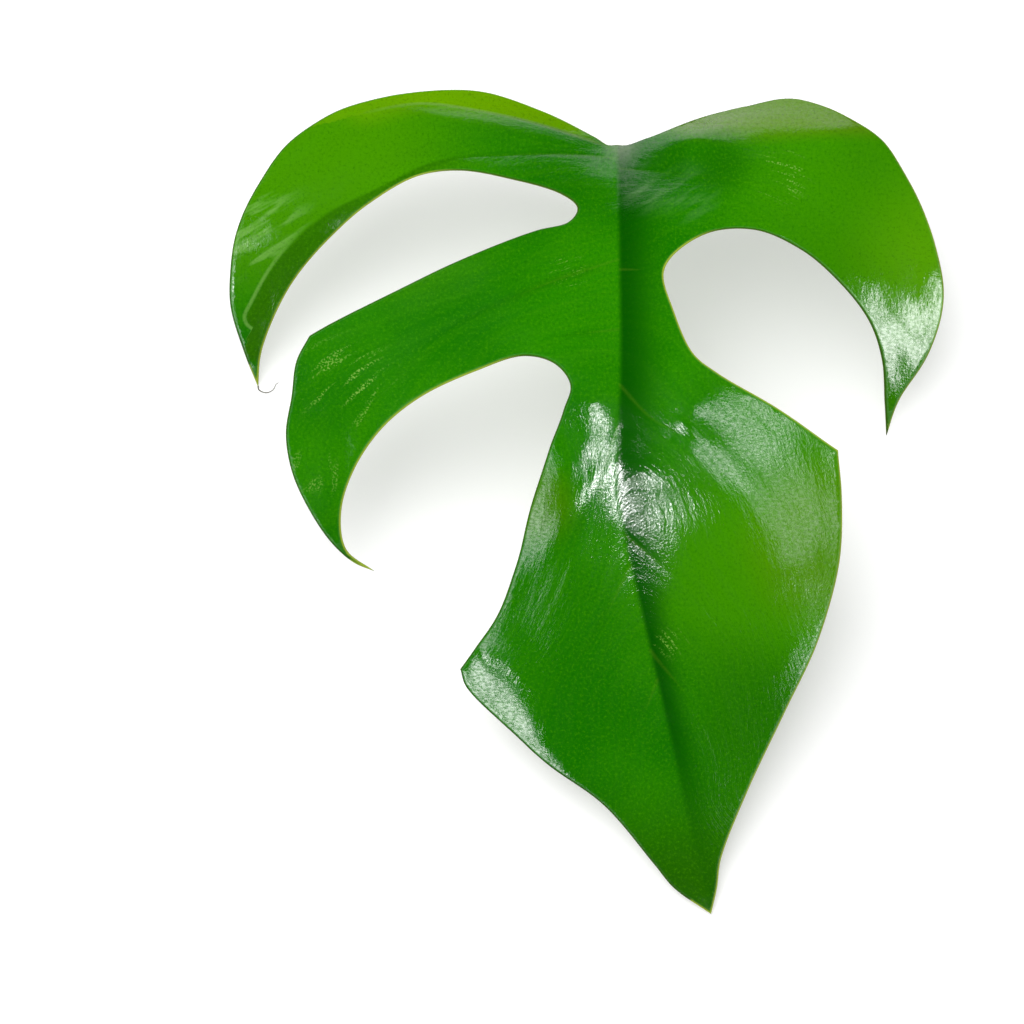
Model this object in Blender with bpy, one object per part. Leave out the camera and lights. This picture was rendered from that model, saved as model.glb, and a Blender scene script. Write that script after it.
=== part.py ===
"""A mini monstera leaf, picked and laid face up: the split blade and the stalk bent back beneath it.

The blade is drawn in a frame of its own, in millimetres: x across, y from the tip to the base and
height square to the blade. That frame is then tilted so that the tips of the lobes and the stalk
reach the ground, z = 0, and moved so that the origin is under the middle of the leaf.
"""

import math

import bpy
import numpy as np
from mathutils import Vector
from mathutils.geometry import delaunay_2d_cdt

MM = 0.001

# Driving sizes, in millimetres and degrees
BLADE_TILT = 20.0
BLADE_FRAME_AT = (5.93, -15.42, 42.92)
SIGHT_POINT = (-21.2, 1.6, 1200.0)
LAMINA_THICKNESS = 0.7
MIDRIB_GROOVE = 0.7
MIDRIB_GROOVE_WIDTH = 1.3
MIDRIB_RIDGE_AT_BASE = 2.6
MIDRIB_RIDGE_AT_TIP = 0.3
VEIN_GROOVE = 0.3
VEIN_GROOVE_WIDTH = 0.9
VEIN_RIDGE = 0.55
VEIN_RIDGE_WIDTH = 0.9
MARGIN_STEP = 2.4
INNER_SPACING = 3.7
MIDRIB_ROWS = (0.0, 0.9, 2.1)
VEIN_ROWS = (0.0, 1.1)
PLATE_SLACK = 0.0002
FALL_FROM = 12.0
FALL_TO = 78.0
STEEPEST = 2.1
LOBES_PART_AT = 12.0
LOBES_APART = 1.0

STALK_LENGTH = 126.0
STALK_RADIUS = 2.25
STALK_RADIUS_AT_BLADE = 1.9
STALK_RADIUS_AT_CUT = 2.75
KNEE_RADIUS = 2.75
KNEE_LENGTH = 19.0
STALK_DEPTH_AT_BLADE = 1.6
STALK_CHANNEL = 0.3
STALK_TWIST = 115.0
STALK_SIDES = 16
STALK_STATIONS = 60
FLAT_HALF_ANGLE = 20.0
CUT_SLANT = 12.0
GAP = 0.42

# The margin, as (x, y, height): smooth runs that meet at the notch, the tips and the shoulders
NOTCH = (-0.2, 73.9, -50.0)
UPPER_LEFT_TIP = (-72.0, 26.6, -55.6)
LOWER_LEFT_SHOULDER = (-61.4, 36.8, -25.6)
LOWER_LEFT_TIP = (-48.8, -10.2, -33.0)
END_LEFT_SHOULDER = (-31.5, -29.8, -18.0)
END_TIP = (18.6, -78.8, -15.8)
END_RIGHT_SHOULDER = (44.2, 14.0, -8.0)
RIGHT_TIP = (53.6, 17.0, -52.15)

MARGIN_RUNS = (
    (  # over the upper left lobe
        NOTCH, (-2.2, 73.9, -50.0), (-4.8, 75.8, -50.8), (-10.0, 79.2, -51.5),
        (-15.4, 81.8, -50.8), (-26.0, 85.4, -49.0), (-33.0, 86.0, -47.6), (-45.4, 84.8, -46.5),
        (-56.6, 81.3, -45.0), (-65.2, 76.0, -44.0), (-71.6, 67.6, -43.8), (-75.8, 59.0, -44.5),
        (-77.4, 50.4, -46.5), (-77.5, 42.4, -49.0), (-74.8, 33.4, -52.5), UPPER_LEFT_TIP,
    ),
    (  # round the first split
        UPPER_LEFT_TIP, (-71.6, 32.2, -52.5), (-70.2, 37.1, -49.5), (-65.2, 47.2, -44.0),
        (-58.2, 55.8, -38.5), (-49.6, 63.4, -34.0), (-39.4, 69.0, -31.0), (-31.4, 69.9, -30.0),
        (-20.6, 68.0, -29.0), (-11.6, 65.4, -29.0), (-8.1, 62.8, -28.0), (-10.0, 59.6, -25.5),
        (-16.4, 57.9, -23.0), (-32.4, 51.6, -19.5), (-43.2, 46.4, -21.0), (-55.0, 40.4, -24.0),
        LOWER_LEFT_SHOULDER,
    ),
    (  # down the lower left lobe
        LOWER_LEFT_SHOULDER, (-64.2, 31.6, -26.2), (-65.2, 24.8, -26.2), (-66.4, 17.4, -26.3),
        (-65.4, 10.4, -26.3), (-62.8, 4.0, -27.0), (-57.6, -4.2, -29.2), (-53.0, -8.4, -31.2),
        LOWER_LEFT_TIP,
    ),
    (  # round the second split
        LOWER_LEFT_TIP, (-54.4, -5.8, -28.8), (-55.4, 1.8, -25.0), (-53.0, 9.6, -22.6),
        (-47.4, 18.0, -19.8), (-39.6, 24.5, -16.2), (-28.4, 29.8, -12.2), (-18.8, 32.8, -8.8),
        (-12.6, 31.2, -6.4), (-9.5, 26.8, -4.0), (-11.0, 22.0, -3.0), (-14.2, 13.6, -3.8),
        (-17.4, 3.0, -6.0), (-20.2, -8.8, -8.8), (-24.2, -19.8, -12.5), END_LEFT_SHOULDER,
    ),
    (  # down the left of the end lobe
        END_LEFT_SHOULDER, (-30.4, -33.2, -18.6), (-23.4, -40.4, -17.6), (-14.0, -48.8, -16.2),
        (-3.0, -56.8, -15.0), (7.2, -68.8, -15.2), (11.2, -73.6, -15.8), END_TIP,
    ),
    (  # up the right of the end lobe
        END_TIP, (19.8, -73.6, -15.6), (20.6, -67.8, -14.6), (26.0, -54.0, -13.2),
        (33.2, -38.7, -11.6), (39.8, -24.2, -10.2), (44.2, -8.9, -8.6), (44.8, 5.0, -7.4),
        END_RIGHT_SHOULDER,
    ),
    (  # round the right split
        END_RIGHT_SHOULDER, (31.8, 22.4, -6.0), (19.8, 29.4, -4.6), (15.2, 33.0, -6.0),
        (11.1, 42.0, -11.0), (9.2, 49.8, -16.5), (12.4, 54.2, -18.5), (19.4, 57.8, -19.0),
        (27.6, 58.0, -18.5), (36.4, 54.2, -20.0), (44.2, 47.6, -24.5), (50.2, 39.8, -31.0),
        (52.8, 32.0, -38.0), (53.3, 24.0, -45.0), RIGHT_TIP,
    ),
    (  # over the right lobe, back to the notch
        RIGHT_TIP, (56.1, 23.8, -47.0), (62.5, 34.2, -43.0), (65.1, 44.0, -40.5), (63.4, 55.0, -38.5),
        (58.4, 67.4, -39.0), (52.4, 75.6, -41.5), (42.4, 82.0, -45.0), (34.4, 84.2, -47.5),
        (25.8, 82.6, -49.0), (16.6, 80.2, -50.5), (6.4, 75.8, -50.5), (1.8, 73.9, -50.0), NOTCH,
    ),
)

# The midrib from the notch to the tip, as (x, y, height)
MIDRIB = (
    NOTCH, (-0.1, 70.0, -40.4), (0.0, 64.0, -30.8), (0.1, 58.0, -24.4), (0.2, 52.0, -19.4),
    (0.3, 45.0, -14.4), (0.4, 38.0, -9.8), (0.4, 31.0, -5.4), (0.3, 26.0, -2.4), (0.1, 22.0, -0.8),
    (0.0, 16.0, -0.2), (0.0, 8.0, -0.8), (1.6, -4.0, -2.3), (4.6, -18.0, -4.4), (7.8, -32.0, -6.8),
    (11.0, -46.0, -9.4), (14.0, -60.0, -12.4), (16.6, -71.0, -14.9), END_TIP,
)

# Where the lobes stand between midrib and margin, as (x, y, height)
BODY = (
    (-37.6, 77.6, -39.5), (-68.0, 58.0, -41.0), (-37.6, 36.0, -17.5), (-56.0, 17.0, -23.0),
    (16.0, 76.0, -38.0), (30.0, 77.0, -35.5), (44.0, 75.0, -35.0), (34.0, 68.0, -26.5),
    (54.0, 52.0, -31.0), (-10.0, -24.0, -6.0), (20.0, -14.0, -4.6), (14.4, 16.0, -1.0),
    (24.6, 3.4, -1.9), (31.8, -9.6, -4.4), (32.0, 10.0, -4.0), (10.0, 4.0, -1.2),
)

# The middle of each split, as the distance from the midrib and y
RIGHT_SPLIT = (9.0, 54.0), (46.0, 12.2)
FIRST_SPLIT = (8.0, 30.0, 50.0, 64.0, 69.0, 71.0), (62.0, 60.5, 52.0, 40.0, 28.0, 12.0)
SECOND_SPLIT = (9.5, 50.0), (27.0, -37.8)

# The side veins, as (x, y) from the midrib outwards
VEINS = (
    ((-0.2, 72.6), (-15.6, 78.4), (-27.6, 81.4), (-39.6, 83.0), (-50.0, 81.0)),
    ((-0.2, 71.6), (-20.6, 72.6), (-35.2, 71.6), (-45.6, 67.0), (-57.0, 60.6), (-66.0, 50.6), (-71.6, 40.6)),
    ((0.0, 52.0), (-14.6, 47.0), (-29.6, 40.4), (-43.6, 31.6), (-53.6, 22.4), (-59.6, 12.0), (-59.4, 2.0)),
    ((0.0, 38.0), (-12.0, 36.6), (-24.0, 34.0)),
    ((0.0, 19.0), (-6.0, 2.0), (-12.6, -14.0), (-19.6, -27.0)),
    ((2.6, -9.0), (-5.0, -24.0), (-11.6, -34.6), (-12.0, -44.0)),
    ((7.8, -32.0), (3.0, -46.0), (2.4, -56.0)),
    ((0.4, 72.6), (14.4, 77.0), (28.4, 79.4), (42.0, 77.6)),
    ((0.4, 70.0), (16.0, 69.4), (30.0, 67.0), (42.0, 60.6), (50.4, 50.0), (55.0, 38.0), (55.0, 27.0)),
    ((0.4, 50.0), (6.0, 50.4), (13.0, 57.0)),
    ((0.4, 27.0), (7.2, 20.2), (14.4, 16.0), (24.6, 3.4), (31.8, -9.6), (35.6, -20.0)),
    ((1.6, -3.0), (14.0, -14.0), (24.0, -26.0), (28.0, -40.0)),
    ((6.4, -26.0), (15.6, -38.0), (20.6, -50.0), (20.6, -60.0)),
)


def clear_scene():
    for obj in list(bpy.data.objects):
        bpy.data.objects.remove(obj)


def material(name, colour, roughness):
    made = bpy.data.materials.new(name)
    made.use_nodes = True
    shader = made.node_tree.nodes["Principled BSDF"]
    shader.inputs["Base Color"].default_value = (*colour, 1.0)
    shader.inputs["Roughness"].default_value = roughness
    shader.inputs["Metallic"].default_value = 0.0
    return made


def smooth_through(points, step):
    """A smooth curve through the points (a centripetal Catmull-Rom spline), sampled about every step."""
    points = np.array(points, float)
    ends = 2 * points[0] - points[1], 2 * points[-1] - points[-2]
    p = np.vstack([ends[0], points, ends[1]])
    curve = []
    for i in range(1, len(p) - 2):
        span = p[i - 1 : i + 3]
        gaps = np.sqrt(np.linalg.norm(np.diff(span, axis=0), axis=1))
        t0, t1, t2, t3 = np.concatenate([[0.0], np.cumsum(gaps)])
        count = max(1, round(np.linalg.norm(span[2] - span[1]) / step))
        for t in np.linspace(t1, t2, count, endpoint=False):
            a1 = (span[0] * (t1 - t) + span[1] * (t - t0)) / (t1 - t0)
            a2 = (span[1] * (t2 - t) + span[2] * (t - t1)) / (t2 - t1)
            a3 = (span[2] * (t3 - t) + span[3] * (t - t2)) / (t3 - t2)
            b1 = (a1 * (t2 - t) + a2 * (t - t0)) / (t2 - t0)
            b2 = (a2 * (t3 - t) + a3 * (t - t1)) / (t3 - t1)
            curve.append((b1 * (t2 - t) + b2 * (t - t1)) / (t2 - t1))
    return np.array(curve + [points[-1]])


MIDRIB_CURVE = smooth_through(MIDRIB, 1.0)

# The blade falls away towards its base. ROLL_S is how far along the blade each ROLL_Y lies.
ROLL_Y = np.linspace(-90.0, 100.0, 761)
ROLL_SLOPE = STEEPEST * np.clip((ROLL_Y - FALL_FROM) / (FALL_TO - FALL_FROM), 0.0, 1.0) ** 1.4
ROLL_S = ROLL_Y[0] + np.concatenate([[0.0], np.cumsum(np.hypot(1.0, ROLL_SLOPE)[1:] * np.diff(ROLL_Y))])


def unrolled(points):
    """(x, y) to (x, s): s is how far along the blade that y lies, which keeps steep parts true in size."""
    points = np.asarray(points, float)
    return np.column_stack([points[:, 0], np.interp(points[:, 1], ROLL_Y, ROLL_S)])


def rolled(points):
    """(x, s) back to (x, y)."""
    points = np.asarray(points, float)
    return np.column_stack([points[:, 0], np.interp(points[:, 1], ROLL_S, ROLL_Y)])


def lobes_apart(points):
    """(x, y) to (x, s, w): w sets the lobes apart beyond the splits' ends, so that each bends alone."""
    points = np.asarray(points, float)[:, :2]
    x, y = points.T
    reach = np.maximum(0.0, np.abs(x) - LOBES_PART_AT)
    reach = LOBES_APART * reach**2 / (reach + 10.0)
    upper_right = (x > 0.0) & (y > np.interp(x, *RIGHT_SPLIT))
    upper_left = (x < 0.0) & (y > np.interp(-x, *FIRST_SPLIT))
    lower_left = (x < 0.0) & ~upper_left & (y > np.interp(-x, *SECOND_SPLIT))
    return np.column_stack([unrolled(points), reach * (1.0 * upper_right + upper_left - lower_left)])


def plate_kernel(a, b):
    squared = ((a[:, None, :] - b[None, :, :]) ** 2).sum(axis=2)
    return 0.5 * squared * np.log(squared + 1e-9)


def bent_plate():
    """The form of the blade: the sheet that a thin springy plate takes up when held at the anchors."""
    runs = [point for run in MARGIN_RUNS for point in run[:-1]]
    anchors = np.array(runs + list(MIDRIB[1:-1]) + list(BODY), float)
    at = lobes_apart(anchors)
    count = len(at)
    flat = np.column_stack([np.ones(count), at[:, :2]])
    slack = PLATE_SLACK * np.abs(plate_kernel(at, at)).mean() * np.eye(count)
    system = np.block([[plate_kernel(at, at) + slack, flat], [flat.T, np.zeros((3, 3))]])
    weights = np.linalg.solve(system, np.concatenate([anchors[:, 2], np.zeros(3)]))
    return at, weights


PLATE_AT, PLATE_WEIGHTS = bent_plate()


def height_at(points):
    """The height of the blade's middle surface at each (x, y)."""
    at = lobes_apart(points)
    bending = plate_kernel(at, PLATE_AT) @ PLATE_WEIGHTS[:-3]
    return bending + PLATE_WEIGHTS[-3] + at[:, :2] @ PLATE_WEIGHTS[-2:]


def sighted(points):
    """(x, y) to points in space. They are as sighted from SIGHT_POINT, so what is deeper is further out."""
    points = np.asarray(points, float)[:, :2]
    height = height_at(points)
    eye = np.array(SIGHT_POINT[:2])
    spread = (1.0 - height / SIGHT_POINT[2])[:, None]
    return np.column_stack([eye + (points - eye) * spread, height])


def normals_at(points):
    """The upward normal of the middle surface at each (x, y)."""
    points = np.asarray(points, float)[:, :2]
    nudge = 0.05
    across = sighted(points + (nudge, 0.0)) - sighted(points - (nudge, 0.0))
    along = sighted(points + (0.0, nudge)) - sighted(points - (0.0, nudge))
    normals = np.cross(across, along)
    return normals / np.linalg.norm(normals, axis=1)[:, None]


def nearest_on(curve, points):
    """For each point, its distance to the curve and the share of the curve's length where it is nearest."""
    start, step = curve[:-1], np.diff(curve, axis=0)
    length = np.linalg.norm(step, axis=1)
    run = np.concatenate([[0.0], np.cumsum(length)])
    offset = points[:, None, :] - start[None]
    share = np.clip((offset * step).sum(axis=2) / (length**2), 0.0, 1.0)
    distance = np.linalg.norm(offset - share[..., None] * step, axis=2)
    best = distance.argmin(axis=1)
    rows = np.arange(len(points))
    return distance[rows, best], (run[best] + share[rows, best] * length[best]) / run[-1]


def relief_at(points):
    """How far the upper face sinks at the veins, and how far the lower face stands out, at each (x, y)."""
    at = unrolled(points)
    distance, along = nearest_on(unrolled(MIDRIB_CURVE), at)
    sink = MIDRIB_GROOVE * (1.0 - 0.7 * along) * np.exp(-((distance / MIDRIB_GROOVE_WIDTH) ** 2))
    ridge = MIDRIB_RIDGE_AT_BASE + (MIDRIB_RIDGE_AT_TIP - MIDRIB_RIDGE_AT_BASE) * along**0.7
    stand = ridge * np.exp(-((distance / (0.5 + 0.6 * ridge)) ** 2))
    for vein in VEINS:
        distance, along = nearest_on(unrolled(smooth_through(vein, 2.0)), at)
        fade = 1.0 - along**2
        sink = np.maximum(sink, VEIN_GROOVE * fade * np.exp(-((distance / VEIN_GROOVE_WIDTH) ** 2)))
        stand = np.maximum(stand, VEIN_RIDGE * fade * np.exp(-((distance / VEIN_RIDGE_WIDTH) ** 2)))
    return sink, stand


def tilted(points):
    """Points of the blade's frame to the part's frame, in metres."""
    angle = math.radians(BLADE_TILT)
    x, y, z = np.asarray(points, float).T
    turned = np.column_stack(
        [x, y * math.cos(angle) - z * math.sin(angle), y * math.sin(angle) + z * math.cos(angle)]
    )
    return (turned + BLADE_FRAME_AT) * MM


def margin_outline():
    """The whole margin in (x, s), once round."""
    curves = []
    for run in MARGIN_RUNS:
        knots = np.column_stack([unrolled(run), np.array(run)[:, 2]])
        curves.append(smooth_through(knots, MARGIN_STEP)[:-1, :2])
    return np.vstack(curves)


def inside(outline, points):
    """Which points lie inside the outline, by counting the edges that a ray to the right crosses."""
    start, end = outline, np.roll(outline, -1, axis=0)
    x, y = points[:, 0][:, None], points[:, 1][:, None]
    spans = (start[:, 1] > y) != (end[:, 1] > y)
    slope = (end[:, 0] - start[:, 0]) / np.where(end[:, 1] == start[:, 1], 1.0, end[:, 1] - start[:, 1])
    return (spans & (x < start[:, 0] + (y - start[:, 1]) * slope)).sum(axis=1) % 2 == 1


def rows_beside(curve, offsets, step):
    """Points along a curve of (x, s) and to either side of it, which the ribs need to be round."""
    pieces = [curve[:1]]
    length = np.linalg.norm(np.diff(curve, axis=0), axis=1)
    run = np.concatenate([[0.0], np.cumsum(length)])
    stations = np.linspace(0.0, run[-1], max(2, round(run[-1] / step)))
    line = np.column_stack([np.interp(stations, run, curve[:, 0]), np.interp(stations, run, curve[:, 1])])
    direction = np.gradient(line, axis=0)
    direction /= np.linalg.norm(direction, axis=1)[:, None]
    side = np.column_stack([-direction[:, 1], direction[:, 0]])
    for offset in offsets:
        pieces += [line + offset * side] if offset == 0.0 else [line + offset * side, line - offset * side]
    return np.vstack(pieces)


def thinned(points, kept, clear):
    """The points that lie at least clear from every kept point and from one another."""
    chosen = list(kept)
    grid = {}
    for i, p in enumerate(kept):
        grid.setdefault((int(p[0] // clear), int(p[1] // clear)), []).append(i)
    for p in points:
        cell = int(p[0] // clear), int(p[1] // clear)
        near = (
            chosen[i]
            for dx in (-1, 0, 1)
            for dy in (-1, 0, 1)
            for i in grid.get((cell[0] + dx, cell[1] + dy), ())
        )
        if all(math.hypot(p[0] - q[0], p[1] - q[1]) >= clear for q in near):
            grid.setdefault(cell, []).append(len(chosen))
            chosen.append(tuple(p))
    return np.array(chosen)


def blade_points(outline):
    """The outline's points, then rows along the ribs, then an even spread over the lamina, all in (x, s)."""
    ribs = [rows_beside(unrolled(MIDRIB_CURVE), MIDRIB_ROWS, 2.6)]
    ribs += [rows_beside(unrolled(smooth_through(vein, 2.0)), VEIN_ROWS, 3.2) for vein in VEINS]
    ribs = np.vstack(ribs)
    ribs = ribs[inside(outline, ribs)]
    low, high = outline.min(axis=0), outline.max(axis=0)
    row_gap = INNER_SPACING * math.sqrt(3.0) / 2.0
    spread = [
        (x + (row % 2) * INNER_SPACING / 2.0, s)
        for row, s in enumerate(np.arange(low[1], high[1], row_gap))
        for x in np.arange(low[0], high[0], INNER_SPACING)
    ]
    spread = np.array(spread)
    spread = spread[inside(outline, spread)]
    ribs = thinned(ribs, outline, 0.85)
    return thinned(spread, ribs, 0.62 * INNER_SPACING)


def build_blade(name):
    outline = margin_outline()
    points = blade_points(outline)
    rim = len(outline)
    corners, _, faces, origins, _, _ = delaunay_2d_cdt(
        [Vector(p) for p in points], [], [list(range(rim))], 1, 1e-6
    )
    at = rolled(np.array([tuple(p) for p in corners]))
    order = [origin[0] for origin in origins]
    middle, normals = sighted(at), normals_at(at)
    sink, stand = relief_at(at)
    upper = middle + normals * (LAMINA_THICKNESS / 2.0 - sink)[:, None]
    lower = middle - normals * (LAMINA_THICKNESS / 2.0 + stand)[:, None]
    count = len(at)
    rim_at = {source: i for i, source in enumerate(order) if source < rim}
    ring = [rim_at[i] for i in range(rim)]
    area = sum(np.cross(at[f[1]] - at[f[0]], at[f[2]] - at[f[0]]) for f in faces)
    faces = [tuple(f) if area > 0 else tuple(f)[::-1] for f in faces]
    walls = signed_wall(ring, at, count)
    under = [tuple(i + count for i in f[::-1]) for f in faces]
    return solid(name, tilted(np.vstack([upper, lower])), faces + under + walls)


def signed_wall(ring, at, count):
    """The narrow wall round the margin, as triangles that face outwards."""
    loop = at[ring]
    turn = (loop[:, 0] * np.roll(loop[:, 1], -1) - loop[:, 1] * np.roll(loop[:, 0], -1)).sum()
    ring = ring if turn > 0 else ring[::-1]
    walls = []
    for i, j in zip(ring, ring[1:] + ring[:1]):
        walls += [(i, i + count, j), (j, i + count, j + count)]
    return walls


def stalk_rings():
    """The stalk's centre line in the part's frame, in millimetres, and at each of its stations the way
    out of the bend, the way to the left and the radius."""
    foot_at = np.array([NOTCH[:2]])
    foot = tilted(sighted(foot_at))[0] / MM
    inner = tilted(sighted(foot_at - (0.0, 1.0)))[0] / MM
    heading = (foot - inner) / np.linalg.norm(foot - inner)
    upward = tilted(sighted(foot_at) + normals_at(foot_at))[0] / MM - foot
    start = foot + heading * GAP - upward * STALK_DEPTH_AT_BLADE
    dip = math.atan2(-heading[2], heading[1])
    drop = start[2] - KNEE_RADIUS * math.cos(math.radians(FLAT_HALF_ANGLE))
    share = (np.arange(400) + 0.5) / 400
    course = dip + (math.pi - dip) * (1.0 - (1.0 - share) ** 1.6)
    bend = drop / np.sin(course).mean()
    run = np.concatenate([[0.0], np.cumsum(np.full(400, bend / 400))])
    y_at = start[1] + np.concatenate([[0.0], np.cumsum(np.cos(course) * bend / 400)])
    z_at = start[2] - np.concatenate([[0.0], np.cumsum(np.sin(course) * bend / 400)])
    stations = STALK_LENGTH * np.linspace(0.0, 1.0, STALK_STATIONS) ** 1.25
    beyond = np.maximum(0.0, stations - bend)
    radius = stalk_radius(stations)
    lying = radius * math.cos(math.radians(FLAT_HALF_ANGLE))
    y = np.interp(stations, run, y_at) - beyond
    z = np.where(stations < bend, np.maximum(np.interp(stations, run, z_at), lying), lying)
    x = start[0] + 1.6 * np.sin(beyond / 34.0) - 0.012 * beyond
    angle = np.interp(stations, run[:-1], course)
    outer = np.column_stack([np.zeros_like(angle), np.sin(angle), np.cos(angle)])
    left = np.tile([-1.0, 0.0, 0.0], (len(stations), 1))
    return np.column_stack([x, y, z]), outer, left, radius


def stalk_radius(run):
    """Slender at the blade, swollen at the knee, then slender again and stouter towards the cut."""
    knee = np.interp(run, [0.0, 5.0, 12.0, KNEE_LENGTH], [0.0, 1.0, 1.0, 0.0])
    knee = knee * knee * (3.0 - 2.0 * knee)
    lower = np.interp(run, [KNEE_LENGTH, STALK_LENGTH], [STALK_RADIUS, STALK_RADIUS_AT_CUT])
    base = np.where(run < 8.0, STALK_RADIUS_AT_BLADE, lower)
    return base + (KNEE_RADIUS - base) * knee


def build_stalk(name):
    """Rings of points round the stalk's centre line. A channel runs down the stalk and twists from the
    outer side of the knee to the stalk's flank. Two points of each ring lie on the ground: a flat strip."""
    centre, outer, left, radius = stalk_rings()
    flat = math.radians(FLAT_HALF_ANGLE)
    angles = np.concatenate([[-flat], np.linspace(flat, 2.0 * math.pi - flat, STALK_SIDES)[:-1]])
    rings = []
    for i in range(STALK_STATIONS):
        along = i / (STALK_STATIONS - 1)
        channel_at = math.radians(STALK_TWIST) * min(1.0, 4.0 * along)
        away = (angles - channel_at + math.pi) % (2.0 * math.pi) - math.pi
        reach = radius[i] - STALK_CHANNEL * min(1.0, 8.0 * along) * np.exp(-((away / 0.42) ** 2))
        ring = centre[i] + np.outer(reach * np.cos(angles), outer[i])
        ring += np.outer(reach * np.sin(angles), left[i])
        slant = math.tan(math.radians(CUT_SLANT)) * max(0.0, along - 0.97) / 0.03
        ring[:, 1] += slant * (ring[:, 2] - centre[i, 2])
        rings.append(ring)
    points = np.vstack(rings)
    points[:, 2] = np.maximum(points[:, 2], 0.0)
    faces = []
    sides = STALK_SIDES
    for i in range(STALK_STATIONS - 1):
        for j in range(sides):
            a, b = i * sides + j, i * sides + (j + 1) % sides
            faces += [(a, b, a + sides), (b, b + sides, a + sides)]
    ends = np.array([points[:sides].mean(axis=0), points[-sides:].mean(axis=0)])
    first, last = len(points), len(points) + 1
    top = (STALK_STATIONS - 1) * sides
    for j in range(sides):
        faces += [(first, (j + 1) % sides, j), (last, top + j, top + (j + 1) % sides)]
    return solid(name, np.vstack([points, ends]) * MM, faces)


def solid(name, points, faces):
    """An object of the points and faces, its faces turned to look outwards."""
    a, b, c = (points[[f[i] for f in faces]] for i in range(3))
    if np.einsum("ij,ij->i", a, np.cross(b, c)).sum() < 0:
        faces = [f[::-1] for f in faces]
    mesh = bpy.data.meshes.new(name)
    mesh.from_pydata(points.tolist(), [], faces)
    mesh.shade_smooth()
    obj = bpy.data.objects.new(name, mesh)
    bpy.context.collection.objects.link(obj)
    return obj


clear_scene()
blade = build_blade("blade")
blade.data.materials.append(material("leaf_green", (0.06, 0.24, 0.01), 0.35))
stalk = build_stalk("petiole")
stalk.data.materials.append(material("stalk_green", (0.22, 0.42, 0.06), 0.45))
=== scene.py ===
"""The looks of a picked mini monstera leaf: its glossy blade, its stalk, the floor and the light."""

import math
from types import SimpleNamespace

import bpy
import numpy as np
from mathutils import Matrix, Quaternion, Vector
from mathutils.geometry import delaunay_2d_cdt


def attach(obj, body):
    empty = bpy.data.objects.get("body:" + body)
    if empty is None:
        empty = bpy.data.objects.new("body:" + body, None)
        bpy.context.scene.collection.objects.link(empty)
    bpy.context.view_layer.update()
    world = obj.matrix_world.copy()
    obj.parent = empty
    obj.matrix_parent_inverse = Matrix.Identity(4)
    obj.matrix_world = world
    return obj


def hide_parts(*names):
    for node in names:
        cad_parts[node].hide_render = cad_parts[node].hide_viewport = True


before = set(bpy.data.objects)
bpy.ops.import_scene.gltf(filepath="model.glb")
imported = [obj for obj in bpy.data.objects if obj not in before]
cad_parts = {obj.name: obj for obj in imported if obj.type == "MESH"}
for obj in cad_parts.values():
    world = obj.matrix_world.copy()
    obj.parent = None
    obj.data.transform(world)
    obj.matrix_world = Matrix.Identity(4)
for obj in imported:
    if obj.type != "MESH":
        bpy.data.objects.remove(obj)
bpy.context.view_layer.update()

MM = 0.001

# Sizes in millimetres and degrees. The blade has a frame of its own, which lies tilted in the part's frame.
# Its z is a height, and its x and y are as seen from SIGHT_POINT, where the photograph was taken from.
BLADE_TILT = 20.0
BLADE_FRAME_AT = (5.93, -15.42, 42.92)
SIGHT_POINT = (-21.2, 1.6, 1200.0)
PICTURE_WIDTH = 204.8
SENSOR_WIDTH = 36.0
COS_TILT, SIN_TILT = math.cos(math.radians(BLADE_TILT)), math.sin(math.radians(BLADE_TILT))

LAMINA_THICKNESS = 0.5
RIM_ROUNDING = 0.42
RIM_THICKNESS_SHARE = 0.3
MIDRIB_GROOVE, MIDRIB_GROOVE_WIDTH = 0.098, 0.55
MIDRIB_RIDGE_AT_BASE, MIDRIB_RIDGE_AT_TIP = 2.6, 0.3
MIDRIB_RIDGE_SHARE = 0.9
VEIN_GROOVE, VEIN_GROOVE_WIDTH = 0.06, 0.5
VEIN_HOLLOW, VEIN_HOLLOW_WIDTH = 0.035, 2.6
VEIN_RIDGE, VEIN_RIDGE_WIDTH = 0.495, 0.9
RIBS_FADE_WITHIN = 5.0  # of the margin

MARGIN_STEP = 0.7
INNER_SPACING = 0.7
ROW_STEP = 0.7
MARGIN_ROWS = (0.16, 0.42)
MIDRIB_ROWS = (0.0, 0.5, 1.0, 1.6)
VEIN_ROWS = (0.0, 0.5)
ROWS_CLEAR = 0.14
SPREAD_CLEAR = 0.6 * INNER_SPACING
PLATE_SLACK = 0.0002
FALL_FROM, FALL_TO = 12.0, 78.0
STEEPEST = 2.1
LOBES_PART_AT = 12.0
LOBES_APART = 1.0

STALK_LENGTH = 126.0
STALK_RADIUS = 2.25
STALK_RADIUS_AT_BLADE = 1.9
STALK_RADIUS_AT_CUT = 2.75
KNEE_RADIUS = 2.75
KNEE_LENGTH = 19.0
KNEE_FULL_FROM, KNEE_FULL_TO = 5.0, 12.0
SLENDER_UNTIL = 8.0
STALK_DEPTH_AT_BLADE = 1.6
STALK_CHANNEL, STALK_CHANNEL_WIDTH = 0.5, 0.34  # the width in radians
STALK_TWIST = 115.0
STALK_RIDGES, STALK_RIDGE = 10.0, 0.035
STALK_SIDES = 40
STALK_STATIONS = 150
STATIONS_CROWD = 1.25
BEND_STEPS = 400
BEND_EASE = 1.6
SWAY, SWAY_LENGTH, DRIFT = 1.6, 34.0, 0.012
FLAT_HALF_ANGLE = 20.0
CUT_SLANT = 12.0
CUT_SHARE = 0.03
GAP = 0.42
# The knee lies lower than in the source, so that it doesn't show above the notch
KNEE_TUCK, KNEE_TUCK_REACH = 1.5, 26.0
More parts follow.
